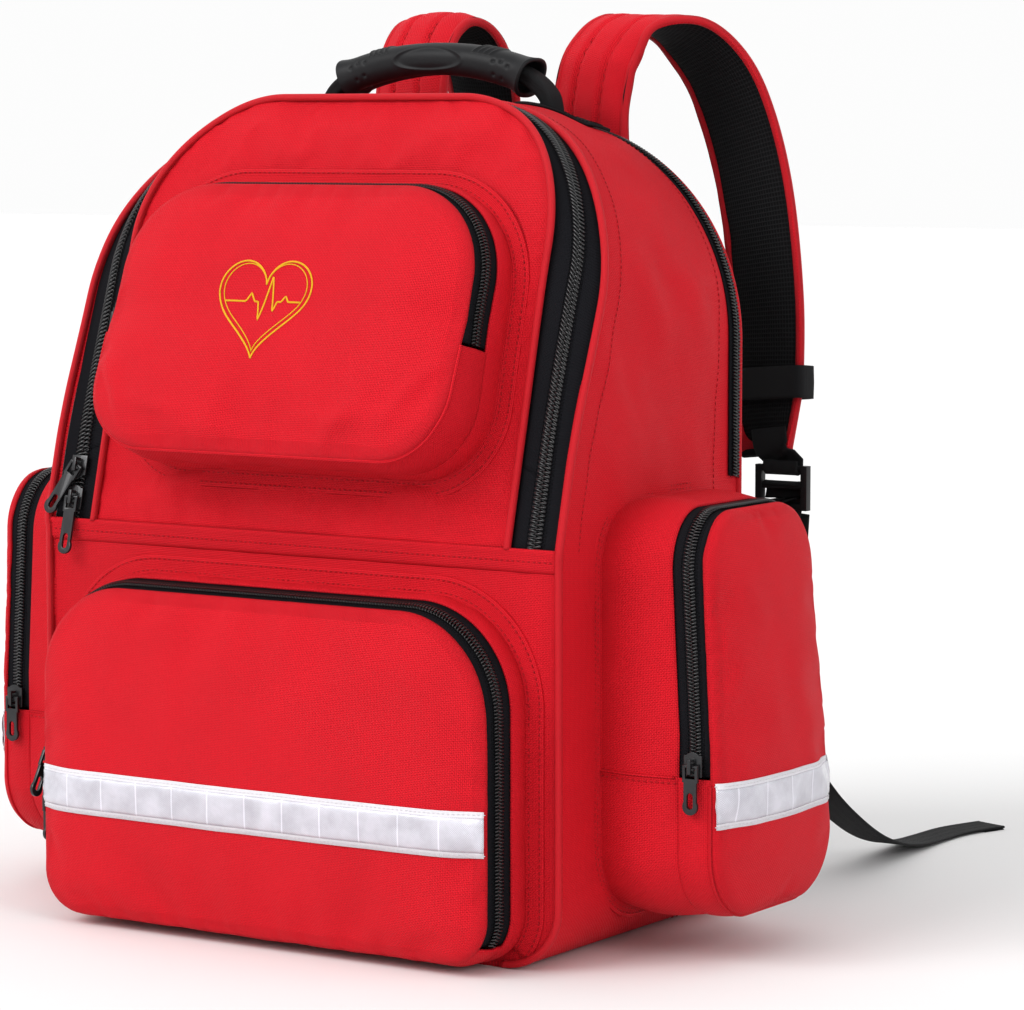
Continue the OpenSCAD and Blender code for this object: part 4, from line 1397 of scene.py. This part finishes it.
def front_depth(kind, s):
    """Depth at which a column meets the front edge of the gusset."""
    y = FRONT
    for _ in range(14):
        z = float(tube_point(kind, s, np.float64(y))[1])
        y = FRONT if z <= SEAM else float(edge_y(z))
    return y


def gusset_grid(rows=44):
    half = []
    for kind, s in tube_columns():
        start = front_depth(kind, s)
        y = start + (BACK - start) * np.linspace(0, 1, rows)
        x, z = tube_point(kind, s, y)
        half.append(xyz(x, y, z))
    half = np.array(half)
    whole = np.concatenate([half, half[1:-1][::-1] * [-1, 1, 1]], 0)
    return whole.transpose(1, 0, 2)


def build_gusset():
    p = gusset_grid()
    rows, columns = p.shape[:2]
    closed = np.concatenate([p[:, -1:], p, p[:, :1]], 1)
    n = -grid_normals(closed)[:, 1:-1]
    if np.sum(n[rows // 2] * (p[rows // 2] - [0, 0, 230])) < 0:
        n = -n
    t = np.linspace(0, 1, rows)[:, None]
    x, y, z = p[..., 0], p[..., 1], p[..., 2]
    swell = np.sin(math.pi * np.clip(t / 0.92, 0, 1)) ** 0.7
    top = np.clip((z - 300) / 90, 0, 1)
    side = np.clip((abs(x) - 150) / 20, 0, 1) * np.clip(z / 40, 0, 1)
    bulge = swell * (4.5 * top + 2.5 * side)
    # Folds run across the top from the zip to the back, and fan out above the side pockets
    around = np.arctan2(z - 330, x)
    ridges = np.sin(around * 15 + 1.2 * np.sin(t * 5)) * cell_noise(
        np.stack([around * 40, y * 0.3, z * 0], -1), 22, 31)
    bulge += ridges * 3.0 * top * swell
    slant = cell_noise(np.stack([x * 0, (y + z * 0.55) * 1.0, (z - y * 0.8) * 0.28], -1), 22, 33)
    bulge += slant * 4.8 * swell * side * np.clip((z - 200) / 70, 0, 1) * (1 - top * 0.6)
    bulge += wrinkles(p, 26, 35) * 0.9 * swell * np.clip(z / 30, 0, 1)
    base = np.clip(1 - z / 12, 0, 1)
    p = p + n * (bulge * (1 - base))[..., None]
    uv = grid_uv(np.concatenate([p, p[:, :1]], 1))[:, :-1]
    shell = solid_sheet("gusset_cloth", p, 3.0, [red, grey_lining], uv=uv, normals=n, closed=True)
    fabric(shell, "bag", "body_shell", "body_lining")
    # Stitches near the back edge, and near the front edge above the seam
    for name, row, order in (("back", -8, np.r_[0:columns, 0]),
                             ("front", 4, np.flatnonzero(p[4][:, 2] > SEAM))):
        out = n[row][order]
        fabric(stitches(f"gusset_{name}_stitches", p[row][order] + out * 0.25, out, red_thread), "bag")
    return p


gusset_points = build_gusset()


def back_outline():
    """x and z round the back edge, from the low middle to the top."""
    return np.array([tube_point(kind, s, np.float64(BACK)) for kind, s in tube_columns()])


def build_body_piping():
    """Piping along the gusset's front edge, straight down the corners, and in under the base."""
    upper = gusset_line + out_line * 1.0 + np.array([0, -1.6, 0])
    down = [(HALF_W + 0.4, FRONT - 1.0, z) for z in np.linspace(SEAM - 3, BASE_R, 40)]
    curve = [(HALF_W - BASE_R + (BASE_R + 0.4) * math.cos(a), FRONT - 1.0,
              BASE_R - (BASE_R - 2.2) * math.sin(a)) for a in np.linspace(0.08, math.pi / 2, 20)]
    right = np.array(down + curve)
    line = np.vstack([right[::-1], upper, right * [-1, 1, 1]])
    fabric(bead("body_piping_cord", line, 2.2, red_piping), "bag", "body_piping", slot="piping")
    rear = back_outline()
    ring = flanked(xyz(rear[:, 0], BACK + 0.6, np.maximum(2.2, rear[:, 1])))
    fabric(bead("rear_piping_cord", ring, 2.0, red_piping), "bag", slot="piping")


build_body_piping()


def build_front_panel():
    rows, columns = 40, 90
    z = np.linspace(0.6, SEAM, rows)
    half = np.where(z < BASE_R, HALF_W - BASE_R
                    + np.sqrt(np.maximum(BASE_R ** 2 - (BASE_R - z) ** 2, 0)), HALF_W) - 0.8
    u = np.linspace(-1, 1, columns)
    p = xyz(half[:, None] * u, FRONT, z[:, None])
    edge = np.clip((1 - abs(u)) * half[:, None] / 12, 0, 1)
    p[..., 1] -= wrinkles(p, 18, 41) * 0.35 * edge
    panel = solid_sheet("front_panel_cloth", p, 3.5, [red, grey_lining], uv=p[..., [0, 2]],
                        normals=(0, -1, 0))
    fabric(panel, "bag", "lower_front_panel")


build_front_panel()


def arch_outline(inset):
    """Outline of the back wall, drawn in by inset."""
    reach = np.array([HALF_W, BACK_H / 2])
    centre = np.array([0, BACK_H / 2])
    return centre + (back_outline() - centre) * (reach - inset) / reach


def filled_panel(name, outline, y, swell, thickness, looks, seed, side=1, rows=60, columns=56):
    """Upright panel inside a mirrored outline, swelling out along +y times side."""
    z_low, z_high = outline[:, 1].min() + 0.2, outline[:, 1].max() - 0.2
    z = z_low + (z_high - z_low) * (1 - np.cos(np.linspace(0, math.pi, rows))) / 2
    order = np.argsort(outline[:, 1], kind="stable")
    best = {}
    for x0, z0 in outline[order]:
        best[round(z0, 3)] = max(best.get(round(z0, 3), 0), x0)
    keys = np.array(sorted(best))
    half = np.interp(z, keys, np.array([best[k] for k in keys]))
    u = np.sin(np.linspace(-1, 1, columns) * math.pi / 2)
    p = xyz(half[:, None] * u, y, z[:, None])
    edge = np.clip(np.minimum((1 - abs(u)) * half[:, None],
                              np.minimum(z - z_low, z_high - z)[:, None]) / 18, 0, 1)
    p[..., 1] += side * (np.sin(edge * math.pi / 2) * swell + wrinkles(p, 30, seed) * 0.5 * edge)
    return solid_sheet(name, p, thickness, looks, uv=p[..., [0, 2]], normals=(0, side, 0))


fabric(filled_panel("back_wall_cloth", arch_outline(1.0), BACK - 0.6, 0.8, 3.0,
                    [black_cloth, grey_lining], 51), "bag")
fabric(filled_panel("rear_divider_cloth", arch_outline(7.0), 62.5, 2.0, 3.4,
                    [grey_lining], 53, side=-1), "bag", "rear_divider", slot="lining")


def cushion(name, low, high, radius, y, depth, channels, seed):
    """A quilted pad on the wearer's side: low and high are its corners in x and z."""
    across, up = 30, 70
    if high[0] - low[0] > high[1] - low[1]:
        across, up = 80, 28
    cx, cz = (low[0] + high[0]) / 2, (low[1] + high[1]) / 2
    half, top = (high[0] - low[0]) / 2, (high[1] - low[1]) / 2
    pad = Pocket(name, half, -top, top, radius, radius, lambda z: -depth + 3 + 0 * z, None,
                 lambda q: np.array([cx, y, cz]) + np.asarray(q, float) * [-1, -1, 1])
    piece = pad.cover(crown=1.0, pressure=4.0, cap=4, slack=0.01, roll=5, across=across, up=up,
                      depth=depth - 4.5, thickness=1.2, seed=seed)
    shape = read_points(piece.data)
    inside = np.clip((shape[:, 1] - y) / depth, 0, 1)
    groove = np.zeros(len(shape))
    for z in channels:
        groove = np.maximum(groove, np.exp(-((shape[:, 2] - z) / 3.2) ** 2))
    shape[:, 1] -= groove * inside * depth * 0.45
    write_points(piece.data, shape)
    piece.data.materials[0] = mesh_cloth
    return piece


for k, low_x in enumerate((-99, 49)):
    column = cushion(f"back_pad_{k}", (low_x, 132), (low_x + 50, 404), 22, BACK + 0.5, 11.0,
                     (200, 268, 336), 61 + k)
    fabric(column, "bag", slot="air_mesh")
lumbar = cushion("lumbar_pad", (-130, 44), (130, 118), 21, BACK + 0.5, 13.5, (), 67)
fabric(lumbar, "bag", "back_pads", slot="air_mesh")


def build_divider():
    low, high = corners("padded_divider")
    outline = np.array([(0, low[2]), (60, low[2]), (66, low[2] + 6), (66, high[2] - 6),
                        (60, high[2]), (0, high[2])])
    for k, side in enumerate((-1, 1)):
        panel = filled_panel(f"padded_divider_{k}", outline, 0.0, 2.4, 2.0, [grey_lining],
                             71 + k, rows=40, columns=30)
        turn = np.array([[0, side, 0], [-side, 0, 0], [0, 0, 1]], float)
        place = [-side * 0.3, (low[1] + high[1]) / 2, 0]
        write_points(panel.data, read_points(panel.data) @ turn + place)
        fabric(panel, "bag", *(["padded_divider"] if k == 0 else []), slot="lining")


build_divider()

# ---------------------------------------------------------------- rear zip


def build_rear_zip():
    """Closed zip on the gusset just in front of the back edge, from one side over the top."""
    line, out = [], []
    depth = BACK - 5.5
    for kind, s in tube_columns():
        x, z = tube_point(kind, s, np.float64(depth))
        if z < 250:
            continue
        a = s * math.pi / 2 if kind == "arch" else (0 if kind == "side" else math.pi / 2)
        line.append((x, depth, z))
        out.append((math.cos(a), 0, math.sin(a)))
    out = flanked(out)
    lifted = flanked(line) + out * 1.9
    ahead = np.array([0, -1.0, 0.16])
    zip_half("rear_zip_front", lifted, ahead, out, 6.5, "bag", "rear_zip")
    zip_half("rear_zip_back", lifted, -ahead, out, 5.5, "bag", phase=0.5)


build_rear_zip()

# ---------------------------------------------------------------- handle

GRIP_R = 185.0
GRIP_LOW = 304.5
grip_low, grip_high = corners("handle_grip")
GRIP_Y = (grip_low[1] + grip_high[1]) / 2
GRIP_ANGLE = 19.6


def build_grip():
    """Moulded grip: an oval recess in front and behind, ribs on its shoulders, dimples towards its
    ends, a channel below, and open flared ends."""
    rings, count = 260, 120
    s = np.linspace(-1, 1, rings)
    a = np.radians(GRIP_ANGLE) * s
    t = np.linspace(0, 2 * math.pi, count, endpoint=False)
    flare = 1 + 0.16 * np.clip((abs(s) - 0.84) / 0.16, 0, 1) ** 2
    waist = 1 - 0.05 * np.exp(-(s / 0.5) ** 2)
    high = 10.3 * flare * waist
    deep = 13.0 * (1 + 0.1 * np.exp(-(s / 0.45) ** 2)) * flare
    c, n = np.cos(t), np.sin(t)
    power = 2 / 2.5
    up = np.sign(n) * np.abs(n) ** power * high[:, None]
    out = np.sign(c) * np.abs(c) ** power * deep[:, None]
    arc = (GRIP_R * a)[:, None]
    face = np.abs(c) ** 0.5 * (np.abs(c) > 0.25)
    oval = (arc / 22) ** 2 + ((up - 0.8) / 6.4) ** 2
    inset = 1.1 / (1 + np.exp((oval - 1) * 14)) * face
    inset -= 0.35 * np.exp(-((oval - 1.15) / 0.12) ** 2) * face
    for side in (-1, 1):
        for x0, z0 in ((44, 4.0), (49, 5.0), (54, 3.6), (46, -3.6), (52, -4.6)):
            d = np.hypot(arc - side * x0, up - z0)
            inset += 0.9 * np.exp(-(d / 1.15) ** 2) * face
        for x0 in (30, 33.6, 37.2, 40.8):
            ridge = np.exp(-((arc - side * x0 - side * (up - 8) * 0.5) / 0.75) ** 2)
            inset -= 0.9 * ridge * (n > 0.55)
    inset += 2.4 * np.exp(-(out / 5.5) ** 2) * (n < -0.5) * (abs(s) < 0.93)[:, None]
    up = up * (1 - inset / np.hypot(up, out))
    out = out * (1 - inset / np.hypot(up, out))
    radius = GRIP_R + up
    p = xyz(radius * np.sin(a)[:, None], GRIP_Y - out, GRIP_LOW + radius * np.cos(a)[:, None])

    def end(index, inward):
        """The open ends turn inwards and run back along the bore."""
        c, s = math.cos(a[index]), math.sin(a[index])
        centre = np.array([GRIP_R * s, GRIP_Y, GRIP_LOW + GRIP_R * c])
        along = np.array([c, 0, -s]) * inward
        return [centre + (p[index] - centre) * scale + along * reach
                for scale, reach in ((0.9, -0.8), (0.8, -0.2), (0.77, 3), (0.74, 12))]

    whole = np.concatenate([end(0, 1)[::-1], p, end(-1, -1)], 0)
    fabric(closed_rings("handle_grip_moulded", whole, grip_rubber), "handle", "handle_grip",
           slot="handle_rubber")


build_grip()


def build_handle_webbing():
    """Rolled webbing that leaves each end of the grip, curls down and is sewn on the bag."""
    for k, side in enumerate((-1, 1)):
        route = [(50 * side, GRIP_Y, 483), (60 * side, GRIP_Y, 479.5), (69 * side, GRIP_Y, 474),
                 (74.5 * side, GRIP_Y + 0.5, 468), (76 * side, GRIP_Y + 1, 463),
                 (77 * side, GRIP_Y + 1, 456)]
        line = smooth_path(route, 10)
        wide = np.tile([0, 1.0, 0], (len(line), 1))
        thick = unit(np.cross(tangents(line), wide))
        section = round_section(15.5, 10.5, 28, 2.3)
        ripple = 1 + 0.05 * np.cos(np.linspace(0, 2 * math.pi, 28, endpoint=False) * 5)
        curl = tube(f"handle_webbing_{k}", line, section * ripple[:, None], wide, thick, webbing)
        bending(curl, "bag", "handle", (76 * side, GRIP_Y, 457), (76 * side, GRIP_Y, 473),
                *(["handle_webbing"] if k == 0 else []), slot="webbing")
        # Flat patch sewn on the gusset, running back from the foot
        start, end = np.array([66.0 * side, GRIP_Y - 14]), np.array([92.0 * side, GRIP_Y + 26])
        patch_on_top(f"handle_patch_{k}", start, end, *(["handle_patches"] if k == 0 else []))


def patch_on_top(name, start, end, *nodes):
    """A 25 mm strip of webbing on the top of the bag, with a box of stitches."""
    surface = BVHTree.FromPolygons(gusset_points.reshape(-1, 3).tolist(),
                                   grid_faces(*gusset_points.shape[:2]).tolist())

    def drop(xy, lift):
        hit, normal, _, _ = surface.ray_cast(Vector((xy[0], xy[1], 600)), Vector((0, 0, -1)))
        normal = np.array(normal)
        normal = normal if normal[2] > 0 else -normal
        return np.array(hit) + normal * lift, normal

    along = unit(end - start)
    across = np.array([-along[1], along[0]])
    length = np.linalg.norm(end - start)
    grid = np.array([[drop(start + along * t + across * w, 2.8 if t > length - 12 else 1.9)
                      for t in np.linspace(0, length, 26)] for w in np.linspace(-12.5, 12.5, 9)])
    strip = solid_sheet(name, grid[:, :, 0], 1.7, [webbing], normals=grid[:, :, 1])
    fabric(strip, "bag", *nodes, slot="webbing")
    box = [(10, 9.6), (length - 4, 9.6), (length - 4, -9.6), (10, -9.6), (10, 9.6)]
    hits = [drop(start + along * t + across * w, 3.0 if t > length - 12 else 2.1)
            for t, w in resample(box, 2.4)]
    line, out = (np.array(part) for part in zip(*hits))
    fabric(stitches(name + "_stitches", line, out, black_cloth, 2.4), "bag", slot="webbing")


build_handle_webbing()

# ---------------------------------------------------------------- shoulder straps

PAD_RIGHT = [
    (65, 109, 436), (66, 109, 466), (72, 112, 492), (85, 124, 509), (104, 144, 506),
    (119, 160, 486), (130, 169, 455), (141, 172, 409), (149, 171, 350), (152, 167, 300),
    (155, 161, 262)]
PAD_LEFT = [
    (-62, 109, 436), (-61, 109, 466), (-59, 112, 494), (-56, 126, 512), (-50, 145, 509),
    (-46, 161, 486), (-48, 170, 450), (-62, 173, 400), (-84, 171, 345), (-106, 167, 300),
    (-124, 161, 262)]
PAD_W, PAD_T = 58.0, 12.0
# Where the two quilted seams lie, as shares of the pad's half width
QUILT_LINES = (-0.36, 0.36)
PAD_SIDE = np.array([1, -0.22, 0])


def build_pad(route, tag, side):
    """Shoulder pad with its binding and quilting. Returns its middle line and its directions."""
    line = smooth_path(route, 20)
    line = resample(line, lengths(line)[-1] / 140)
    along = tangents(line)
    out = -unit(np.cross(along, PAD_SIDE))
    wide = unit(np.cross(along, out))
    if out[len(out) // 3][2] < 0:
        out = -out
    s = np.linspace(0, 1, len(line))
    half = (PAD_W - ramp(s, 0.3, 0.6, 6) - ramp(s, 0.9, 0.1, 16)) / 2
    foot_fade = np.clip((1 - s) * 18, 0.25, 1)
    # Outer face: red cloth over foam, pulled in along two quilted seams
    w = np.linspace(-1, 1, 45)
    quilt = sum(np.exp(-((w - q) / 0.07) ** 2) for q in QUILT_LINES)
    crown = (1 - abs(w) ** 3.2) * 5.6 + 0.4
    grid = []
    for k in range(len(w)):
        p = line + wide * (half * w[k])[:, None]
        pucker = np.sin(s * 300) * 0.25 * quilt[k]
        height = crown[k] - quilt[k] * 2.4 + pucker + wrinkles(p, 16, 81 + side) * 0.6
        grid.append(p + out * (height * foot_fade)[:, None])
    uv = np.stack(np.meshgrid(lengths(line), (w + 1) * PAD_W / 2), -1)
    red_face = solid_sheet(f"shoulder_pad_{tag}_cloth", np.array(grid), 3.0, [red], uv=uv,
                           normals=out)
    fabric(red_face, "strap_" + tag, "shoulder_pad_" + tag, slot="strap_fabric")
    # Inner face: air mesh
    grid = []
    for k in range(len(w)):
        p = line + wide * (half * w[k] * 0.97)[:, None]
        height = (1 - abs(w[k]) ** 3) * 5.0 + wrinkles(p, 14, 85) * 0.4
        grid.append(p - out * (height * foot_fade)[:, None])
    mesh_face = solid_sheet(f"shoulder_pad_{tag}_mesh", np.array(grid), 2.5, [mesh_cloth], uv=uv,
                            normals=-out)
    fabric(mesh_face, "strap_" + tag, slot="air_mesh")
    # Binding round both edges, and across the foot
    for e, sign in enumerate((-1, 1)):
        edge = line + wide * (sign * (half - 1.6))[:, None]
        fabric(bead(f"shoulder_pad_{tag}_binding_{e}", edge, 2.6, red_piping), "strap_" + tag,
               slot="strap_fabric")
    foot = line[-1] + np.linspace(-1, 1, 14)[:, None] * wide[-1] * half[-1]
    fabric(bead(f"shoulder_pad_{tag}_foot_binding", foot, 2.8, black_cloth), "strap_" + tag,
           slot="strap_fabric")
    # Zig-zag quilting stitches in the two grooves
    run = lengths(line)
    at = np.arange(4, run[-1] - 6, 3.4)
    zig = np.where(np.arange(len(at)) % 2 == 0, 1.7, -1.7)
    middle, side_v, out_v = (sample(at, run, values) for values in (line, wide, out))
    for q, centre in enumerate(QUILT_LINES):
        k = int(np.argmin(abs(w - centre)))
        level = crown[k] - quilt[k] * 2.4 + 0.45
        p = middle + side_v * (np.interp(at, run, half) * centre + zig)[:, None] + out_v * level
        thread_line, thread_out = resample(p, 1.7, out_v)
        fabric(stitches(f"shoulder_pad_{tag}_quilting_{q}", thread_line, thread_out, red_thread,
                        1.9, 0.9), "strap_" + tag, slot="strap_fabric")
    return line, wide, out


pad_lines = {1: build_pad(PAD_RIGHT, "right", 1), -1: build_pad(PAD_LEFT, "left", -1)}


def build_strap_hardware():
    for side, tag in ((1, "right"), (-1, "left")):
        lock_low, lock_high = corners("ladder_lock_" + tag)
        lock = (lock_low + lock_high) / 2
        refined("ladder_lock_" + tag, 0.8, plastic, "buckle_plastic")
        line, wide, out = pad_lines[side]
        # Short webbing from the pad's foot round the buckle's top bar
        top = np.array([lock[0], lock[1], lock_high[2] - 2])
        begin = line[-1] - unit(line[-1] - line[-2]) * 13 + wide[-1] * side * 7
        loop = [begin - out[-1] * 6.8, line[-1] + wide[-1] * side * 8 - out[-1] * 4.5,
                top + [0, 3.2, 5], top + [0, 3.0, -1], top + [0, 0, -3.2], top + [0, -3.0, -1],
                top + [0, -3.0, 5]]
        fabric(ribbon(f"buckle_loop_{tag}", smooth_path(loop, 6), (1, 0, 0), 23, 1.4),
               "strap_" + tag, slot="webbing")
        keeper(tag, line, wide, out)
        lower_webbing(side, tag, lock)


def keeper(tag, line, wide, out):
    """Band of webbing round the pad."""
    low, high = corners("strap_keeper_" + tag)
    k = int(np.argmin(np.linalg.norm(line - (low + high) / 2, axis=1)))
    section = round_section(PAD_W + 5.6, PAD_T + 6.0, 64, 4.5)
    across = wide[k] * section[:, :1] + out[k] * section[:, 1:]
    along = unit(line[k + 1] - line[k - 1])
    grid = np.array([line[k] + along * h + across * (1 - 0.01 * abs(h) / 9.5)
                     for h in np.linspace(-9.5, 9.5, 9)])
    band = solid_sheet(f"strap_keeper_{tag}_band", grid, 1.5, [webbing], normals=unit(across),
                       closed=True)
    fabric(band, "keeper_" + tag, "strap_keeper_" + tag, slot="webbing")


def lower_webbing(side, tag, lock):
    """Webbing from the foot of the bag up through the buckle, and its sewn triangle."""
    x = side * 150.0
    start = np.array([x, BACK + 6.5, 40.0])
    end = lock + np.array([0, 0, -14.0])
    path = [start, (start + end) / 2 + [0, 3, 0], end, lock + [0, 1.2, -8], lock + [0, 3.6, 0.5],
            lock + [0, 1.0, 3.4], lock + [0, -2.4, 1.5]]
    piece = ribbon(f"lower_webbing_{tag}", smooth_path(path, 8), (1, 0, 0))
    bending(piece, "strap_" + tag, "bag", end - [0, 0, 12], start + [0, 0, 8],
            *(["lower_webbings"] if side > 0 else []), slot="webbing")
    v = np.linspace(0, 1, 16)[:, None]
    u = np.linspace(-1, 1, 24)
    edge = np.clip(np.minimum((1 - abs(u)) * 4, np.minimum(v, 1 - v) * 6), 0, 1)
    grid = xyz(x + (24 - 9.5 * v) * u, BACK + 2.2 + edge * 2.6, 20 + 29 * v)
    wing = solid_sheet(f"lower_anchor_{tag}", grid, 3.5, [red], normals=(0, 1, 0))
    fabric(wing, "bag", *(["lower_anchors"] if side > 0 else []))


build_strap_hardware()


def build_yoke():
    """Webbing across the top of the back, over the ends of the shoulder straps."""
    low, high = corners("strap_yoke")
    x = np.linspace(low[0], high[0], 90)
    grid = xyz(x, high[1] + 0.6, np.linspace(low[2], high[2], 9)[:, None])
    strip = solid_sheet("strap_yoke_webbing", grid, 1.7, [webbing], normals=(0, 1, 0),
                        uv=grid[..., [2, 0]])
    fabric(strip, "bag", "strap_yoke", slot="webbing")
    for k, level in enumerate((low[2] + 3, high[2] - 3)):
        fabric(stitches(f"strap_yoke_stitches_{k}", xyz(x, high[1] + 0.8, level), (0, 1, 0),
                        black_cloth, 2.6), "bag", slot="webbing")


build_yoke()

# ---------------------------------------------------------------- sliders, pulls, boards

for node in sorted(frame["nodes"]):
    if node.startswith(("slider_", "pull_")):
        refined(node, 0.35, enamel, "slider_metal")

for node in ("base_board", "back_stiffener"):
    piece = frame["nodes"][node]
    piece.data.materials.clear()
    piece.data.materials.append(board)
